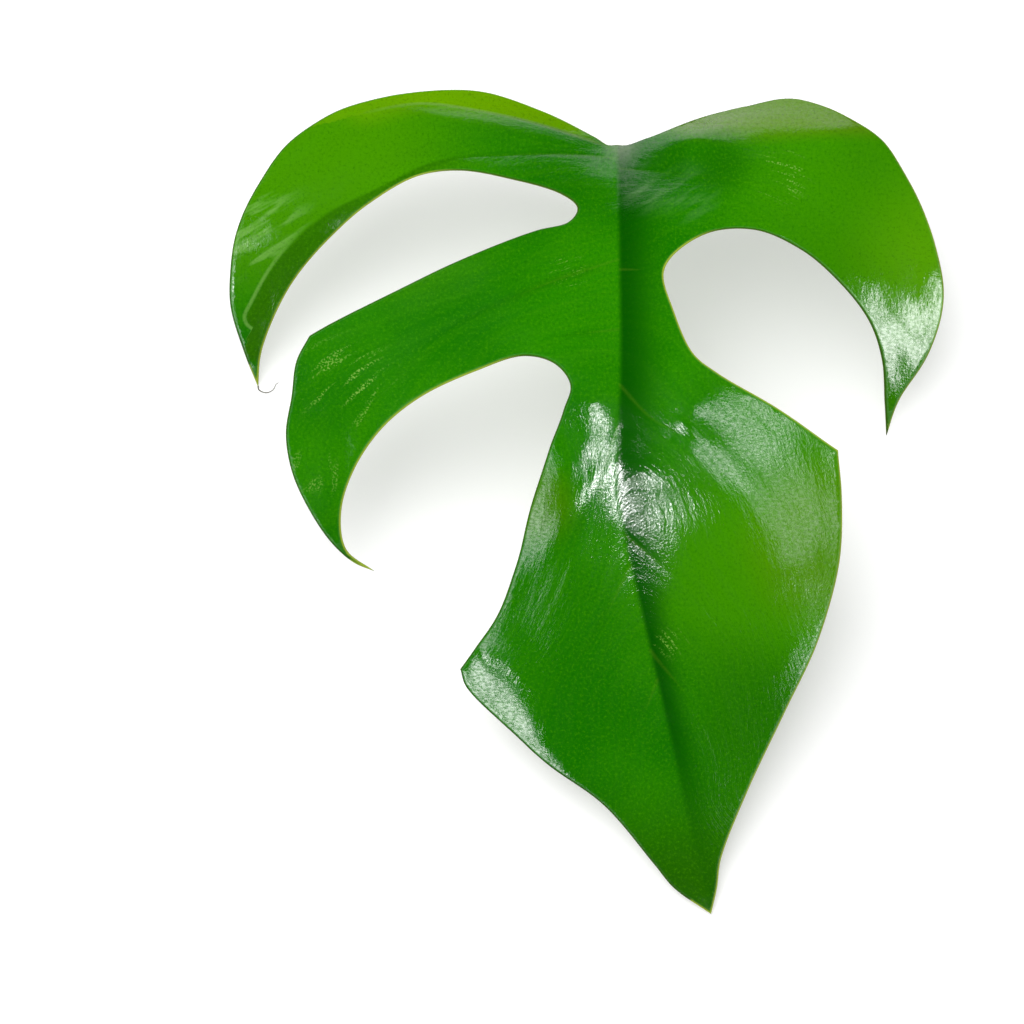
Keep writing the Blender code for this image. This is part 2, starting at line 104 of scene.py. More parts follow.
# The stalk's first rings, which lie in the midrib, as (distance ahead of its start, share of its radius)
LEAD = ((3.4, 0.35), (2.4, 0.62), (1.4, 0.84), (0.6, 0.95))

HAIR_RADIUS, HAIR_END_RADIUS = 0.13, 0.05
HAIR_SIDES = 6
HAIR_HEIGHT = 0.14
LEAST_HEIGHT = 0.02

# The margin, as (x, y, height): smooth runs that meet at the notch, the tips and the shoulders
NOTCH = (-0.2, 73.9, -50.0)
UPPER_LEFT_TIP = (-72.0, 26.6, -55.6)
LOWER_LEFT_SHOULDER = (-61.4, 36.8, -25.6)
LOWER_LEFT_TIP = (-48.8, -10.2, -33.0)
END_LEFT_SHOULDER = (-31.5, -29.8, -18.0)
END_TIP = (18.6, -78.8, -15.8)
END_RIGHT_SHOULDER = (44.2, 14.0, -8.0)
RIGHT_TIP = (53.6, 17.0, -52.15)

MARGIN_RUNS = (
    (  # over the upper left lobe
        NOTCH, (-2.2, 73.9, -50.0), (-4.8, 75.8, -50.8), (-10.0, 79.2, -51.5),
        (-15.4, 81.8, -50.8), (-26.0, 85.4, -49.0), (-33.0, 86.0, -47.6), (-45.4, 84.8, -46.5),
        (-56.6, 81.3, -45.0), (-65.2, 76.0, -44.0), (-71.6, 67.6, -43.8), (-75.8, 59.0, -44.5),
        (-77.4, 50.4, -46.5), (-77.5, 42.4, -49.0), (-74.8, 33.4, -52.5), UPPER_LEFT_TIP,
    ),
    (  # round the first split
        UPPER_LEFT_TIP, (-71.6, 32.2, -52.5), (-70.2, 37.1, -49.5), (-65.2, 47.2, -44.0),
        (-58.2, 55.8, -38.5), (-49.6, 63.4, -34.0), (-39.4, 69.0, -31.0), (-31.4, 69.9, -30.0),
        (-20.6, 68.0, -29.0), (-11.6, 65.4, -29.0), (-8.1, 62.8, -28.0), (-10.0, 59.6, -25.5),
        (-16.4, 57.9, -23.0), (-32.4, 51.6, -19.5), (-43.2, 46.4, -21.0), (-55.0, 40.4, -24.0),
        LOWER_LEFT_SHOULDER,
    ),
    (  # down the lower left lobe
        LOWER_LEFT_SHOULDER, (-64.2, 31.6, -26.2), (-65.2, 24.8, -26.2), (-66.4, 17.4, -26.3),
        (-65.4, 10.4, -26.3), (-62.8, 4.0, -27.0), (-57.6, -4.2, -29.2), (-53.0, -8.4, -31.2),
        LOWER_LEFT_TIP,
    ),
    (  # round the second split
        LOWER_LEFT_TIP, (-54.4, -5.8, -28.8), (-55.4, 1.8, -25.0), (-53.0, 9.6, -22.6),
        (-47.4, 18.0, -19.8), (-39.6, 24.5, -16.2), (-28.4, 29.8, -12.2), (-18.8, 32.8, -8.8),
        (-12.6, 31.2, -6.4), (-9.5, 26.8, -4.0), (-11.0, 22.0, -3.0), (-14.2, 13.6, -3.8),
        (-17.4, 3.0, -6.0), (-20.2, -8.8, -8.8), (-24.2, -19.8, -12.5), END_LEFT_SHOULDER,
    ),
    (  # down the left of the end lobe
        END_LEFT_SHOULDER, (-30.4, -33.2, -18.6), (-23.4, -40.4, -17.6), (-14.0, -48.8, -16.2),
        (-3.0, -56.8, -15.0), (7.2, -68.8, -15.2), (11.2, -73.6, -15.8), END_TIP,
    ),
    (  # up the right of the end lobe
        END_TIP, (19.8, -73.6, -15.6), (20.6, -67.8, -14.6), (26.0, -54.0, -13.2),
        (33.2, -38.7, -11.6), (39.8, -24.2, -10.2), (44.2, -8.9, -8.6), (44.8, 5.0, -7.4),
        END_RIGHT_SHOULDER,
    ),
    (  # round the right split
        END_RIGHT_SHOULDER, (31.8, 22.4, -6.0), (19.8, 29.4, -4.6), (15.2, 33.0, -6.0),
        (11.1, 42.0, -11.0), (9.2, 49.8, -16.5), (12.4, 54.2, -18.5), (19.4, 57.8, -19.0),
        (27.6, 58.0, -18.5), (36.4, 54.2, -20.0), (44.2, 47.6, -24.5), (50.2, 39.8, -31.0),
        (52.8, 32.0, -38.0), (53.3, 24.0, -45.0), RIGHT_TIP,
    ),
    (  # over the right lobe, back to the notch
        RIGHT_TIP, (56.1, 23.8, -47.0), (62.5, 34.2, -43.0), (65.1, 44.0, -40.5), (63.4, 55.0, -38.5),
        (58.4, 67.4, -39.0), (52.4, 75.6, -41.5), (42.4, 82.0, -45.0), (34.4, 84.2, -47.5),
        (25.8, 82.6, -49.0), (16.6, 80.2, -50.5), (6.4, 75.8, -50.5), (1.8, 73.9, -50.0), NOTCH,
    ),
)

# The midrib from the notch to the tip, as (x, y, height)
MIDRIB = (
    NOTCH, (-0.1, 70.0, -40.4), (0.0, 64.0, -30.8), (0.1, 58.0, -24.4), (0.2, 52.0, -19.4),
    (0.3, 45.0, -14.4), (0.4, 38.0, -9.8), (0.4, 31.0, -5.4), (0.3, 26.0, -2.4), (0.1, 22.0, -0.8),
    (0.0, 16.0, -0.2), (0.0, 8.0, -0.8), (1.6, -4.0, -2.3), (4.6, -18.0, -4.4), (7.8, -32.0, -6.8),
    (11.0, -46.0, -9.4), (14.0, -60.0, -12.4), (16.6, -71.0, -14.9), END_TIP,
)

# Where the lobes stand between midrib and margin, as (x, y, height)
BODY = (
    (-37.6, 77.6, -39.5), (-68.0, 58.0, -41.0), (-37.6, 36.0, -17.5), (-56.0, 17.0, -23.0),
    (16.0, 76.0, -38.0), (30.0, 77.0, -35.5), (44.0, 75.0, -35.0), (34.0, 68.0, -26.5),
    (54.0, 52.0, -31.0), (-10.0, -24.0, -6.0), (20.0, -14.0, -4.6), (14.4, 16.0, -1.0),
    (24.6, 3.4, -1.9), (31.8, -9.6, -4.4), (32.0, 10.0, -4.0), (10.0, 4.0, -1.2),
)

# The middle of each split, as the distance from the midrib and y
RIGHT_SPLIT = (9.0, 54.0), (46.0, 12.2)
FIRST_SPLIT = (8.0, 30.0, 50.0, 64.0, 69.0, 71.0), (62.0, 60.5, 52.0, 40.0, 28.0, 12.0)
SECOND_SPLIT = (9.5, 50.0), (27.0, -37.8)

# The side veins, as (x, y) from the midrib outwards
VEINS = (
    ((-0.2, 72.6), (-15.6, 78.4), (-27.6, 81.4), (-39.6, 83.0), (-50.0, 81.0)),
    ((-0.2, 71.6), (-20.6, 72.6), (-35.2, 71.6), (-45.6, 67.0), (-57.0, 60.6), (-66.0, 50.6), (-71.6, 40.6)),
    ((0.0, 52.0), (-14.6, 47.0), (-29.6, 40.4), (-43.6, 31.6), (-53.6, 22.4), (-59.6, 12.0), (-59.4, 2.0)),
    ((0.0, 38.0), (-12.0, 36.6), (-24.0, 34.0)),
    ((0.0, 19.0), (-6.0, 2.0), (-12.6, -14.0), (-19.6, -27.0)),
    ((2.6, -9.0), (-5.0, -24.0), (-11.6, -34.6), (-12.0, -44.0)),
    ((7.8, -32.0), (3.0, -46.0), (2.4, -56.0)),
    ((0.4, 72.6), (14.4, 77.0), (28.4, 79.4), (42.0, 77.6)),
    ((0.4, 70.0), (16.0, 69.4), (30.0, 67.0), (42.0, 60.6), (50.4, 50.0), (55.0, 38.0), (55.0, 27.0)),
    ((0.4, 50.0), (6.0, 50.4), (13.0, 57.0)),
    ((0.4, 27.0), (7.2, 20.2), (14.4, 16.0), (24.6, 3.4), (31.8, -9.6), (35.6, -20.0)),
    ((1.6, -3.0), (14.0, -14.0), (24.0, -26.0), (28.0, -40.0)),
    ((6.4, -26.0), (15.6, -38.0), (20.6, -50.0), (20.6, -60.0)),
)


def smooth_through(points, step):
    """A smooth curve through the points (a centripetal Catmull-Rom spline), sampled about every step."""
    points = np.array(points, float)
    ends = 2 * points[0] - points[1], 2 * points[-1] - points[-2]
    p = np.vstack([ends[0], points, ends[1]])
    curve = []
    for i in range(1, len(p) - 2):
        span = p[i - 1 : i + 3]
        gaps = np.sqrt(np.linalg.norm(np.diff(span, axis=0), axis=1))
        t0, t1, t2, t3 = np.concatenate([[0.0], np.cumsum(gaps)])
        count = max(1, round(np.linalg.norm(span[2] - span[1]) / step))
        for t in np.linspace(t1, t2, count, endpoint=False):
            a1 = (span[0] * (t1 - t) + span[1] * (t - t0)) / (t1 - t0)
            a2 = (span[1] * (t2 - t) + span[2] * (t - t1)) / (t2 - t1)
            a3 = (span[2] * (t3 - t) + span[3] * (t - t2)) / (t3 - t2)
            b1 = (a1 * (t2 - t) + a2 * (t - t0)) / (t2 - t0)
            b2 = (a2 * (t3 - t) + a3 * (t - t1)) / (t3 - t1)
            curve.append((b1 * (t2 - t) + b2 * (t - t1)) / (t2 - t1))
    return np.array(curve + [points[-1]])


def run_of(curve):
    """The length of the curve up to each of its points."""
    return np.concatenate([[0.0], np.cumsum(np.linalg.norm(np.diff(curve, axis=0), axis=1))])


MIDRIB_CURVE = smooth_through(MIDRIB, 1.0)

# The blade falls away towards its base. ROLL_S is how far along the blade each ROLL_Y lies.
ROLL_Y = np.linspace(-90.0, 100.0, 761)
ROLL_SLOPE = STEEPEST * np.clip((ROLL_Y - FALL_FROM) / (FALL_TO - FALL_FROM), 0.0, 1.0) ** 1.4
ROLL_S = ROLL_Y[0] + np.concatenate([[0.0], np.cumsum(np.hypot(1.0, ROLL_SLOPE)[1:] * np.diff(ROLL_Y))])


def unrolled(points):
    """(x, y) to (x, s): s is how far along the blade that y lies, which keeps steep parts true in size."""
    points = np.asarray(points, float)
    return np.column_stack([points[:, 0], np.interp(points[:, 1], ROLL_Y, ROLL_S)])


def rolled(points):
    """(x, s) back to (x, y)."""
    points = np.asarray(points, float)
    return np.column_stack([points[:, 0], np.interp(points[:, 1], ROLL_S, ROLL_Y)])


def lobes_apart(points):
    """(x, y) to (x, s, w): w sets the lobes apart beyond the splits' ends, so that each bends alone."""
    points = np.asarray(points, float)[:, :2]
    x, y = points.T
    reach = np.maximum(0.0, np.abs(x) - LOBES_PART_AT)
    reach = LOBES_APART * reach**2 / (reach + 10.0)
    upper_right = (x > 0.0) & (y > np.interp(x, *RIGHT_SPLIT))
    upper_left = (x < 0.0) & (y > np.interp(-x, *FIRST_SPLIT))
    lower_left = (x < 0.0) & ~upper_left & (y > np.interp(-x, *SECOND_SPLIT))
    return np.column_stack([unrolled(points), reach * (1.0 * upper_right + upper_left - lower_left)])


def plate_kernel(a, b):
    squared = ((a[:, None, :] - b[None, :, :]) ** 2).sum(axis=2)
    return 0.5 * squared * np.log(squared + 1e-9)


def plate_through(at, values):
    """The weights of the form that a thin springy plate takes up when it is held at the anchors' values."""
    kernel = plate_kernel(at, at)
    flat = np.column_stack([np.ones(len(at)), at[:, :2]])
    slack = PLATE_SLACK * np.abs(kernel).mean() * np.eye(len(at))
    system = np.block([[kernel + slack, flat], [flat.T, np.zeros((3, 3))]])
    return np.linalg.solve(system, np.concatenate([values, np.zeros((3, *values.shape[1:]))]))


def plate_at(here, anchors, weights):
    """The plate's values at other points."""
    return plate_kernel(here, anchors) @ weights[:-3] + weights[-3] + here[:, :2] @ weights[-2:]


HELD = np.array([point for run in MARGIN_RUNS for point in run[:-1]] + list(MIDRIB[1:-1]) + list(BODY), float)
HELD_AT = lobes_apart(HELD)
HELD_WEIGHTS = plate_through(HELD_AT, HELD[:, 2])


def height_at(points):
    """The height of the blade's middle surface at each (x, y)."""
    return plate_at(lobes_apart(points), HELD_AT, HELD_WEIGHTS)


def sighted(points):
    """(x, y) to points in space. They are as sighted from SIGHT_POINT, so what is deeper is further out."""
    points = np.asarray(points, float)[:, :2]
    height = height_at(points)
    eye = np.array(SIGHT_POINT[:2])
    spread = (1.0 - height / SIGHT_POINT[2])[:, None]
    return np.column_stack([eye + (points - eye) * spread, height])


def normals_at(points):
    """The upward normal of the middle surface at each (x, y)."""
    points = np.asarray(points, float)[:, :2]
    nudge = 0.05
    across = sighted(points + (nudge, 0.0)) - sighted(points - (nudge, 0.0))
    along = sighted(points + (0.0, nudge)) - sighted(points - (0.0, nudge))
    normals = np.cross(across, along)
    return normals / np.linalg.norm(normals, axis=1)[:, None]


def nearest_on(curve, points):
    """For each point, its distance to the curve and the share of the curve's length where it is nearest."""
    start, step = curve[:-1], np.diff(curve, axis=0)
    length = np.linalg.norm(step, axis=1)
    run = run_of(curve)
    offset = points[:, None, :] - start[None]
    share = np.clip((offset * step).sum(axis=2) / (length**2), 0.0, 1.0)
    distance = np.linalg.norm(offset - share[..., None] * step, axis=2)
    best = distance.argmin(axis=1)
    rows = np.arange(len(points))
    return distance[rows, best], (run[best] + share[rows, best] * length[best]) / run[-1]


def tilted(points):
    """Points of the blade's frame to the part's frame, in metres."""
    x, y, z = np.asarray(points, float).T
    turned = np.column_stack([x, y * COS_TILT - z * SIN_TILT, y * SIN_TILT + z * COS_TILT])
    return (turned + BLADE_FRAME_AT) * MM


def margin_outline():
    """The whole margin in (x, s), once round."""
    curves = []
    for run in MARGIN_RUNS:
        knots = np.column_stack([unrolled(run), np.array(run)[:, 2]])
        curves.append(smooth_through(knots, MARGIN_STEP)[:-1, :2])
    return np.vstack(curves)


def inside(outline, points):
    """Which points lie inside the outline, by counting the edges that a ray to the right crosses."""
    start, end = outline, np.roll(outline, -1, axis=0)
    x, y = points[:, 0][:, None], points[:, 1][:, None]
    spans = (start[:, 1] > y) != (end[:, 1] > y)
    slope = (end[:, 0] - start[:, 0]) / np.where(end[:, 1] == start[:, 1], 1.0, end[:, 1] - start[:, 1])
    return (spans & (x < start[:, 0] + (y - start[:, 1]) * slope)).sum(axis=1) % 2 == 1


def in_parts(function, points, size=4000):
    """A function of many points, worked out a few thousand at a time."""
    done = [function(points[i : i + size]) for i in range(0, len(points), size)]
    if isinstance(done[0], tuple):
        return tuple(np.concatenate(column) for column in zip(*done))
    return np.concatenate(done)


def kept_inside(outline, points):
    """The points that lie inside the outline."""
    return points[in_parts(lambda p: inside(outline, p), points)]


def rows_beside(curve, offsets):
    """Points along a curve of (x, s) and to either side of it, which the ribs need to be round."""
    pieces = [curve[:1]]
    run = run_of(curve)
    stations = np.linspace(0.0, run[-1], max(2, round(run[-1] / ROW_STEP)))
    line = np.column_stack([np.interp(stations, run, curve[:, 0]), np.interp(stations, run, curve[:, 1])])
    direction = np.gradient(line, axis=0)
    direction /= np.linalg.norm(direction, axis=1)[:, None]
    side = np.column_stack([-direction[:, 1], direction[:, 0]])
    for offset in offsets:
        pieces += [line + offset * side] if offset == 0.0 else [line + offset * side, line - offset * side]
    return np.vstack(pieces)


def thinned(points, kept, clear):
    """The points that lie at least clear from every kept point and from one another."""
    chosen = list(kept)
    grid = {}
    for i, p in enumerate(kept):
        grid.setdefault((int(p[0] // clear), int(p[1] // clear)), []).append(i)
    for p in points:
        cell = int(p[0] // clear), int(p[1] // clear)
        near = (
            chosen[i]
            for dx in (-1, 0, 1)
            for dy in (-1, 0, 1)
            for i in grid.get((cell[0] + dx, cell[1] + dy), ())
        )
        if all(math.hypot(p[0] - q[0], p[1] - q[1]) >= clear for q in near):
            grid.setdefault(cell, []).append(len(chosen))
            chosen.append(tuple(p))
    return np.array(chosen)


def signed_wall(ring, at, count):
    """The narrow wall round the margin, as triangles that face outwards."""
    loop = at[ring]
    turn = (loop[:, 0] * np.roll(loop[:, 1], -1) - loop[:, 1] * np.roll(loop[:, 0], -1)).sum()
    ring = ring if turn > 0 else ring[::-1]
    walls = []
    for i, j in zip(ring, ring[1:] + ring[:1]):
        walls += [(i, i + count, j), (j, i + count, j + count)]
    return walls


def stalk_rings():
    """The stalk's centre line in the part's frame, in millimetres, and at each of its stations the way
    out of the bend, the way to the left and the radius."""
    foot_at = np.array([NOTCH[:2]])
    foot = tilted(sighted(foot_at))[0] / MM
    inner = tilted(sighted(foot_at - (0.0, 1.0)))[0] / MM
    heading = (foot - inner) / np.linalg.norm(foot - inner)
    upward = tilted(sighted(foot_at) + normals_at(foot_at))[0] / MM - foot
    start = foot + heading * GAP - upward * STALK_DEPTH_AT_BLADE
    flat_share = math.cos(math.radians(FLAT_HALF_ANGLE))
    dip = math.atan2(-heading[2], heading[1])
    drop = start[2] - KNEE_RADIUS * flat_share
    share = (np.arange(BEND_STEPS) + 0.5) / BEND_STEPS
    course = dip + (math.pi - dip) * (1.0 - (1.0 - share) ** BEND_EASE)
    bend = drop / np.sin(course).mean()
    run = np.concatenate([[0.0], np.cumsum(np.full(BEND_STEPS, bend / BEND_STEPS))])
    y_at = start[1] + np.concatenate([[0.0], np.cumsum(np.cos(course) * bend / BEND_STEPS)])
    z_at = start[2] - np.concatenate([[0.0], np.cumsum(np.sin(course) * bend / BEND_STEPS)])
    stations = STALK_LENGTH * np.linspace(0.0, 1.0, STALK_STATIONS) ** STATIONS_CROWD
    beyond = np.maximum(0.0, stations - bend)
    radius = stalk_radius(stations)
    lying = radius * flat_share
    y = np.interp(stations, run, y_at) - beyond
    z = np.where(stations < bend, np.maximum(np.interp(stations, run, z_at), lying), lying)
    x = start[0] + SWAY * np.sin(beyond / SWAY_LENGTH) - DRIFT * beyond
    angle = np.interp(stations, run[:-1], course)
    outer = np.column_stack([np.zeros_like(angle), np.sin(angle), np.cos(angle)])
    left = np.tile([-1.0, 0.0, 0.0], (len(stations), 1))
    return np.column_stack([x, y, z]), outer, left, radius


def stalk_radius(run):
    """Slender at the blade, swollen at the knee, then slender again and stouter towards the cut."""
    knee = np.interp(run, [0.0, KNEE_FULL_FROM, KNEE_FULL_TO, KNEE_LENGTH], [0.0, 1.0, 1.0, 0.0])
    knee = knee * knee * (3.0 - 2.0 * knee)
    lower = np.interp(run, [KNEE_LENGTH, STALK_LENGTH], [STALK_RADIUS, STALK_RADIUS_AT_CUT])
    base = np.where(run < SLENDER_UNTIL, STALK_RADIUS_AT_BLADE, lower)
    return base + (KNEE_RADIUS - base) * knee


def fibre_anchors():
    """Points (x, y) with the two coordinates that the leaf's grain follows: across and along the side veins.
    A vein is a line of one value across, and the value along grows from the midrib outwards."""
    anchors = []
    base = np.interp([vein[0][1] for vein in VEINS], ROLL_Y, ROLL_S)
    # The topmost vein on each side starts at the notch, like the next one, so its value is set apart
    base[[0, 7]] = base[1] + 9.0
    for across, vein in zip(base, VEINS):
        line = smooth_through(vein, 2.0)
        run = run_of(unrolled(line))
        for at in np.arange(5.0, run[-1] + 0.1, 6.0):
            spot = [np.interp(at, run, line[:, i]) for i in (0, 1)]
            anchors.append((*spot, across, at))
    for point in MIDRIB_CURVE[::7]:
        anchors.append((point[0], point[1], np.interp(point[1], ROLL_Y, ROLL_S), 0.0))
    return np.array(anchors)


FIBRES = fibre_anchors()
FIBRES_AT = lobes_apart(FIBRES)
FIBRE_WEIGHTS = plate_through(FIBRES_AT, FIBRES[:, 2:])


def fibres_at(points):
    """The grain's two coordinates at each (x, y)."""
    return plate_at(lobes_apart(points), FIBRES_AT, FIBRE_WEIGHTS)


# Soft swellings (above 0) and hollows of the blade, as (x, y, radius across, radius along, turn, height)
SWELLINGS = (
    (8.1, 9.2, 4.0, 5.5, 62.0, 0.37), (7.6, 14.4, 8.1, 9.8, 10.0, -1.20),
    (-7.4, 19.1, 8.0, 3.6, -4.0, -0.61), (-9.4, 9.2, 3.9, 17.5, -20.0, 0.39),
    (-14.5, 12.0, 5.4, 22.2, -59.0, -0.90), (-8.6, -8.8, 4.3, 6.9, 4.0, 0.31),
    (13.1, -21.7, 15.2, 8.2, -35.0, 0.59), (17.5, -11.0, 13.4, 20.4, 42.0, 0.56),
    (11.7, 17.0, 2.6, 2.4, -77.0, -0.37), (42.7, 14.4, 8.5, 6.2, -61.0, -0.62),
    (42.1, -4.8, 2.4, 14.7, 1.0, -0.08), (39.2, -25.5, 2.4, 8.4, -24.0, 0.24),
    (-24.4, -23.4, 4.8, 21.5, 27.0, 0.79), (-9.3, -21.8, 9.7, 11.7, 16.0, -1.02),
    (-9.5, -48.7, 11.7, 2.5, -43.0, 0.38), (57.8, 36.3, 9.2, 2.6, -75.0, 0.30),
    (52.1, 51.5, 10.1, 4.0, -52.0, -0.51), (14.2, 70.3, 23.4, 4.4, 19.0, -0.81),
    (19.3, 77.6, 26.0, 2.8, 9.0, 0.67), (-11.5, 74.9, 26.0, 2.9, -6.0, 0.98),
    (-37.7, 80.0, 25.1, 2.4, -5.0, 0.67), (-75.7, 36.5, 11.2, 11.9, -8.0, -0.35),
    (-68.0, 58.7, 17.6, 2.4, -4.0, -0.13), (-60.4, 36.4, 8.7, 20.4, 22.0, 0.99),
    (-55.2, 5.7, 2.4, 8.6, -2.0, -0.43), (1.5, -6.0, 3.9, 4.2, -6.0, 0.03),
    (-7.2, 9.7, 2.8, 6.4, -40.0, -0.42), (-10.3, -0.8, 2.4, 7.5, -31.0, 0.34),
    (12.5, -12.5, 4.9, 7.7, 15.0, 0.39), (22.2, 11.9, 2.5, 16.3, 46.0, -0.25),
    (16.8, 16.1, 7.8, 3.5, -14.0, -0.16), (13.9, 22.5, 4.9, 14.7, -10.0, 0.56),
    (-12.8, 16.0, 3.6, 7.3, 2.0, 0.16), (-15.9, -12.3, 2.6, 6.3, -20.0, -0.09),
    (-22.2, -13.2, 3.0, 5.9, -10.0, 0.47), (-26.9, -26.7, 2.7, 5.2, 8.0, 0.52),
    (-19.7, -42.3, 3.4, 4.1, 9.0, -0.31), (-9.2, 70.9, 9.0, 2.4, -3.0, 0.39),
    (6.2, 72.7, 6.6, 2.4, 17.0, 0.18), (44.5, 76.6, 14.8, 3.4, -7.0, 0.96),
    (62.7, 51.4, 2.4, 8.0, -12.0, 0.06), (50.6, 22.4, 2.4, 8.9, 30.0, 0.19),
    (-77.7, 54.1, 3.1, 7.2, -3.0, 0.27), (-69.5, 58.2, 3.7, 7.6, 31.0, -0.17),
    (-82.1, 37.4, 2.4, 8.2, -3.0, -0.14), (34.2, 3.5, 5.7, 8.3, -3.0, -0.19),
    (35.0, -24.5, 3.9, 8.2, -24.0, 0.51),
)
# Creases along the midrib, as (height, width to the left, width to the right, y, length)
CREASES = (
    (0.24, 3.2, 5.2, 12.8, 8.0),
    (-0.12, 1.2, 5.2, -12.4, 37.2),
    (0.15, 5.2, 1.3, -1.0, 4.2),
)


def bell(distance, width):
    """1 on a line, fading to either side of it."""
    return np.exp(-((distance / width) ** 2))


def midrib_offset(points):
    """How far each (x, y) lies to the right of the midrib, straight across."""
    return points[:, 0] - np.interp(-points[:, 1], -MIDRIB_CURVE[:, 1], MIDRIB_CURVE[:, 0])


def fine_relief(points):
    """At each (x, y): groove depth above, rib height below, the distance to the midrib, to the right above 0,
    the distance to the nearest side vein, and that to the two folds at the left."""
    at = unrolled(points)
    distance, along = nearest_on(unrolled(MIDRIB_CURVE), at)
    sink = MIDRIB_GROOVE * (1.0 - 0.7 * along) * bell(distance, MIDRIB_GROOVE_WIDTH)
    ridge = MIDRIB_RIDGE_AT_BASE + (MIDRIB_RIDGE_AT_TIP - MIDRIB_RIDGE_AT_BASE) * along**0.7
    stand = MIDRIB_RIDGE_SHARE * ridge * bell(distance, 0.5 + 0.6 * ridge)
    veins = np.full(len(points), 99.0)
    folds = []
    for vein in VEINS:
        curve = unrolled(smooth_through(vein, 2.0))
        apart, share = nearest_on(curve, at)
        fade = 1.0 - share**2
        if len(folds) < 2:
            folds.append(apart * side_of(curve, share, at))
        narrow = VEIN_GROOVE * fade * bell(apart, VEIN_GROOVE_WIDTH)
        sink = np.maximum(sink, narrow + VEIN_HOLLOW * fade * bell(apart, VEIN_HOLLOW_WIDTH))
        stand = np.maximum(stand, VEIN_RIDGE * fade * bell(apart, VEIN_RIDGE_WIDTH))
        veins = np.minimum(veins, apart + 6.0 * share**2)
    return sink, stand, distance * np.sign(midrib_offset(points)), veins, *folds


def side_of(curve, share, points):
    """1 for the points above or to the right of a curve that runs to the left, and -1 for the others."""
    run = run_of(curve)
    near, next_to = ([np.interp(share * run[-1] + d, run, curve[:, i]) for i in (0, 1)] for d in (-0.5, 0.5))
    step, offset = np.subtract(next_to, near), points.T - near
    return np.where(step[0] * offset[1] - step[1] * offset[0] < 0.0, 1.0, -1.0)


def swell_at(points):
    """How far the whole blade swells, up above 0, at each (x, y)."""
    swell = np.zeros(len(points))
    for x, y, wide, long, turn, height in SWELLINGS:
        c, s = math.cos(math.radians(turn)), math.sin(math.radians(turn))
        u = ((points[:, 0] - x) * c + (points[:, 1] - y) * s) / wide
        v = ((points[:, 1] - y) * c - (points[:, 0] - x) * s) / long
        swell += height * np.exp(-(u**2 + v**2))
    off = midrib_offset(points)
    for height, left, right, y, long in CREASES:
        steep = np.exp(-np.sqrt(off**2 + 0.09) / np.where(off < 0.0, left, right))
        swell += height * steep * bell(points[:, 1] - y, long)
    return swell


def skin_points(outline):
    """The margin, two rows just inside it, rows along the ribs, then an even spread, in (x, s)."""
    closed = np.vstack([outline, outline[:1]])
    ribs = [rows_beside(closed, MARGIN_ROWS), rows_beside(unrolled(MIDRIB_CURVE), MIDRIB_ROWS)]
    ribs += [rows_beside(unrolled(smooth_through(vein, 1.0)), VEIN_ROWS) for vein in VEINS]
    low, high = outline.min(axis=0), outline.max(axis=0)
    rows = np.arange(low[1], high[1], INNER_SPACING * math.sqrt(3.0) / 2.0)
    columns = np.arange(low[0], high[0], INNER_SPACING)
    x, s = np.meshgrid(columns, rows)
    x = x + (np.arange(len(rows)) % 2)[:, None] * INNER_SPACING / 2.0
    spread = kept_inside(outline, np.column_stack([x.ravel(), s.ravel()]))
    return thinned(spread, thinned(kept_inside(outline, np.vstack(ribs)), outline, ROWS_CLEAR), SPREAD_CLEAR)


def blade_skin():
    """The blade as a fine mesh of two faces and a rounded rim, with what its material needs at each point."""
    outline = margin_outline()
    rim = len(outline)
    corners, _, faces, origins, _, _ = delaunay_2d_cdt(
        [Vector(p) for p in skin_points(outline)], [], [list(range(rim))], 1, 1e-6
    )
    flat = np.array([tuple(p) for p in corners])
    at = rolled(flat)
    closed = np.vstack([outline, outline[:1]])
    from_rim, rim_share = in_parts(lambda p: nearest_on(closed, p), flat)
    middle, normals = in_parts(sighted, at), in_parts(normals_at, at)
    sink, stand, from_midrib, veins, *folds = in_parts(fine_relief, at)
    swell = swell_at(at)
    calm = np.clip(from_rim / RIBS_FADE_WITHIN, 0.0, 1.0)
    round_off = np.sqrt(1.0 - (1.0 - np.clip(from_rim / RIM_ROUNDING, 0.0, 1.0)) ** 2)
    half = LAMINA_THICKNESS / 2.0 * (RIM_THICKNESS_SHARE + (1.0 - RIM_THICKNESS_SHARE) * round_off)
    upper = middle + normals * (half - sink * calm + swell)[:, None]
    lower = middle - normals * (half + stand * calm - swell)[:, None]

    count = len(at)
    rim_at = {origin[0]: i for i, origin in enumerate(origins) if origin[0] < rim}
    ring = [rim_at[i] for i in range(rim)]
    area = sum(np.cross(at[f[1]] - at[f[0]], at[f[2]] - at[f[0]]) for f in faces[:500])
    faces = [tuple(f) if area > 0 else tuple(f)[::-1] for f in faces]
    under = [tuple(i + count for i in f[::-1]) for f in faces]
    points = tilted(np.vstack([upper, lower]))
    skin = piece("leaf_blade", points, faces + under + signed_wall(ring, at, count))

    flat_z = np.zeros(count)
    give(skin, "fibre", np.column_stack([in_parts(fibres_at, at), flat_z]))
    give(skin, "place", np.column_stack([at, flat_z]))
    give(skin, "folds", np.column_stack([*folds, rim_faces(closed, rim_share)]))
    give(skin, "rim", from_rim)
    give(skin, "mid", from_midrib)
    give(skin, "veins", veins)
    give(skin, "upper", np.concatenate([np.ones(count), flat_z]))
    return skin


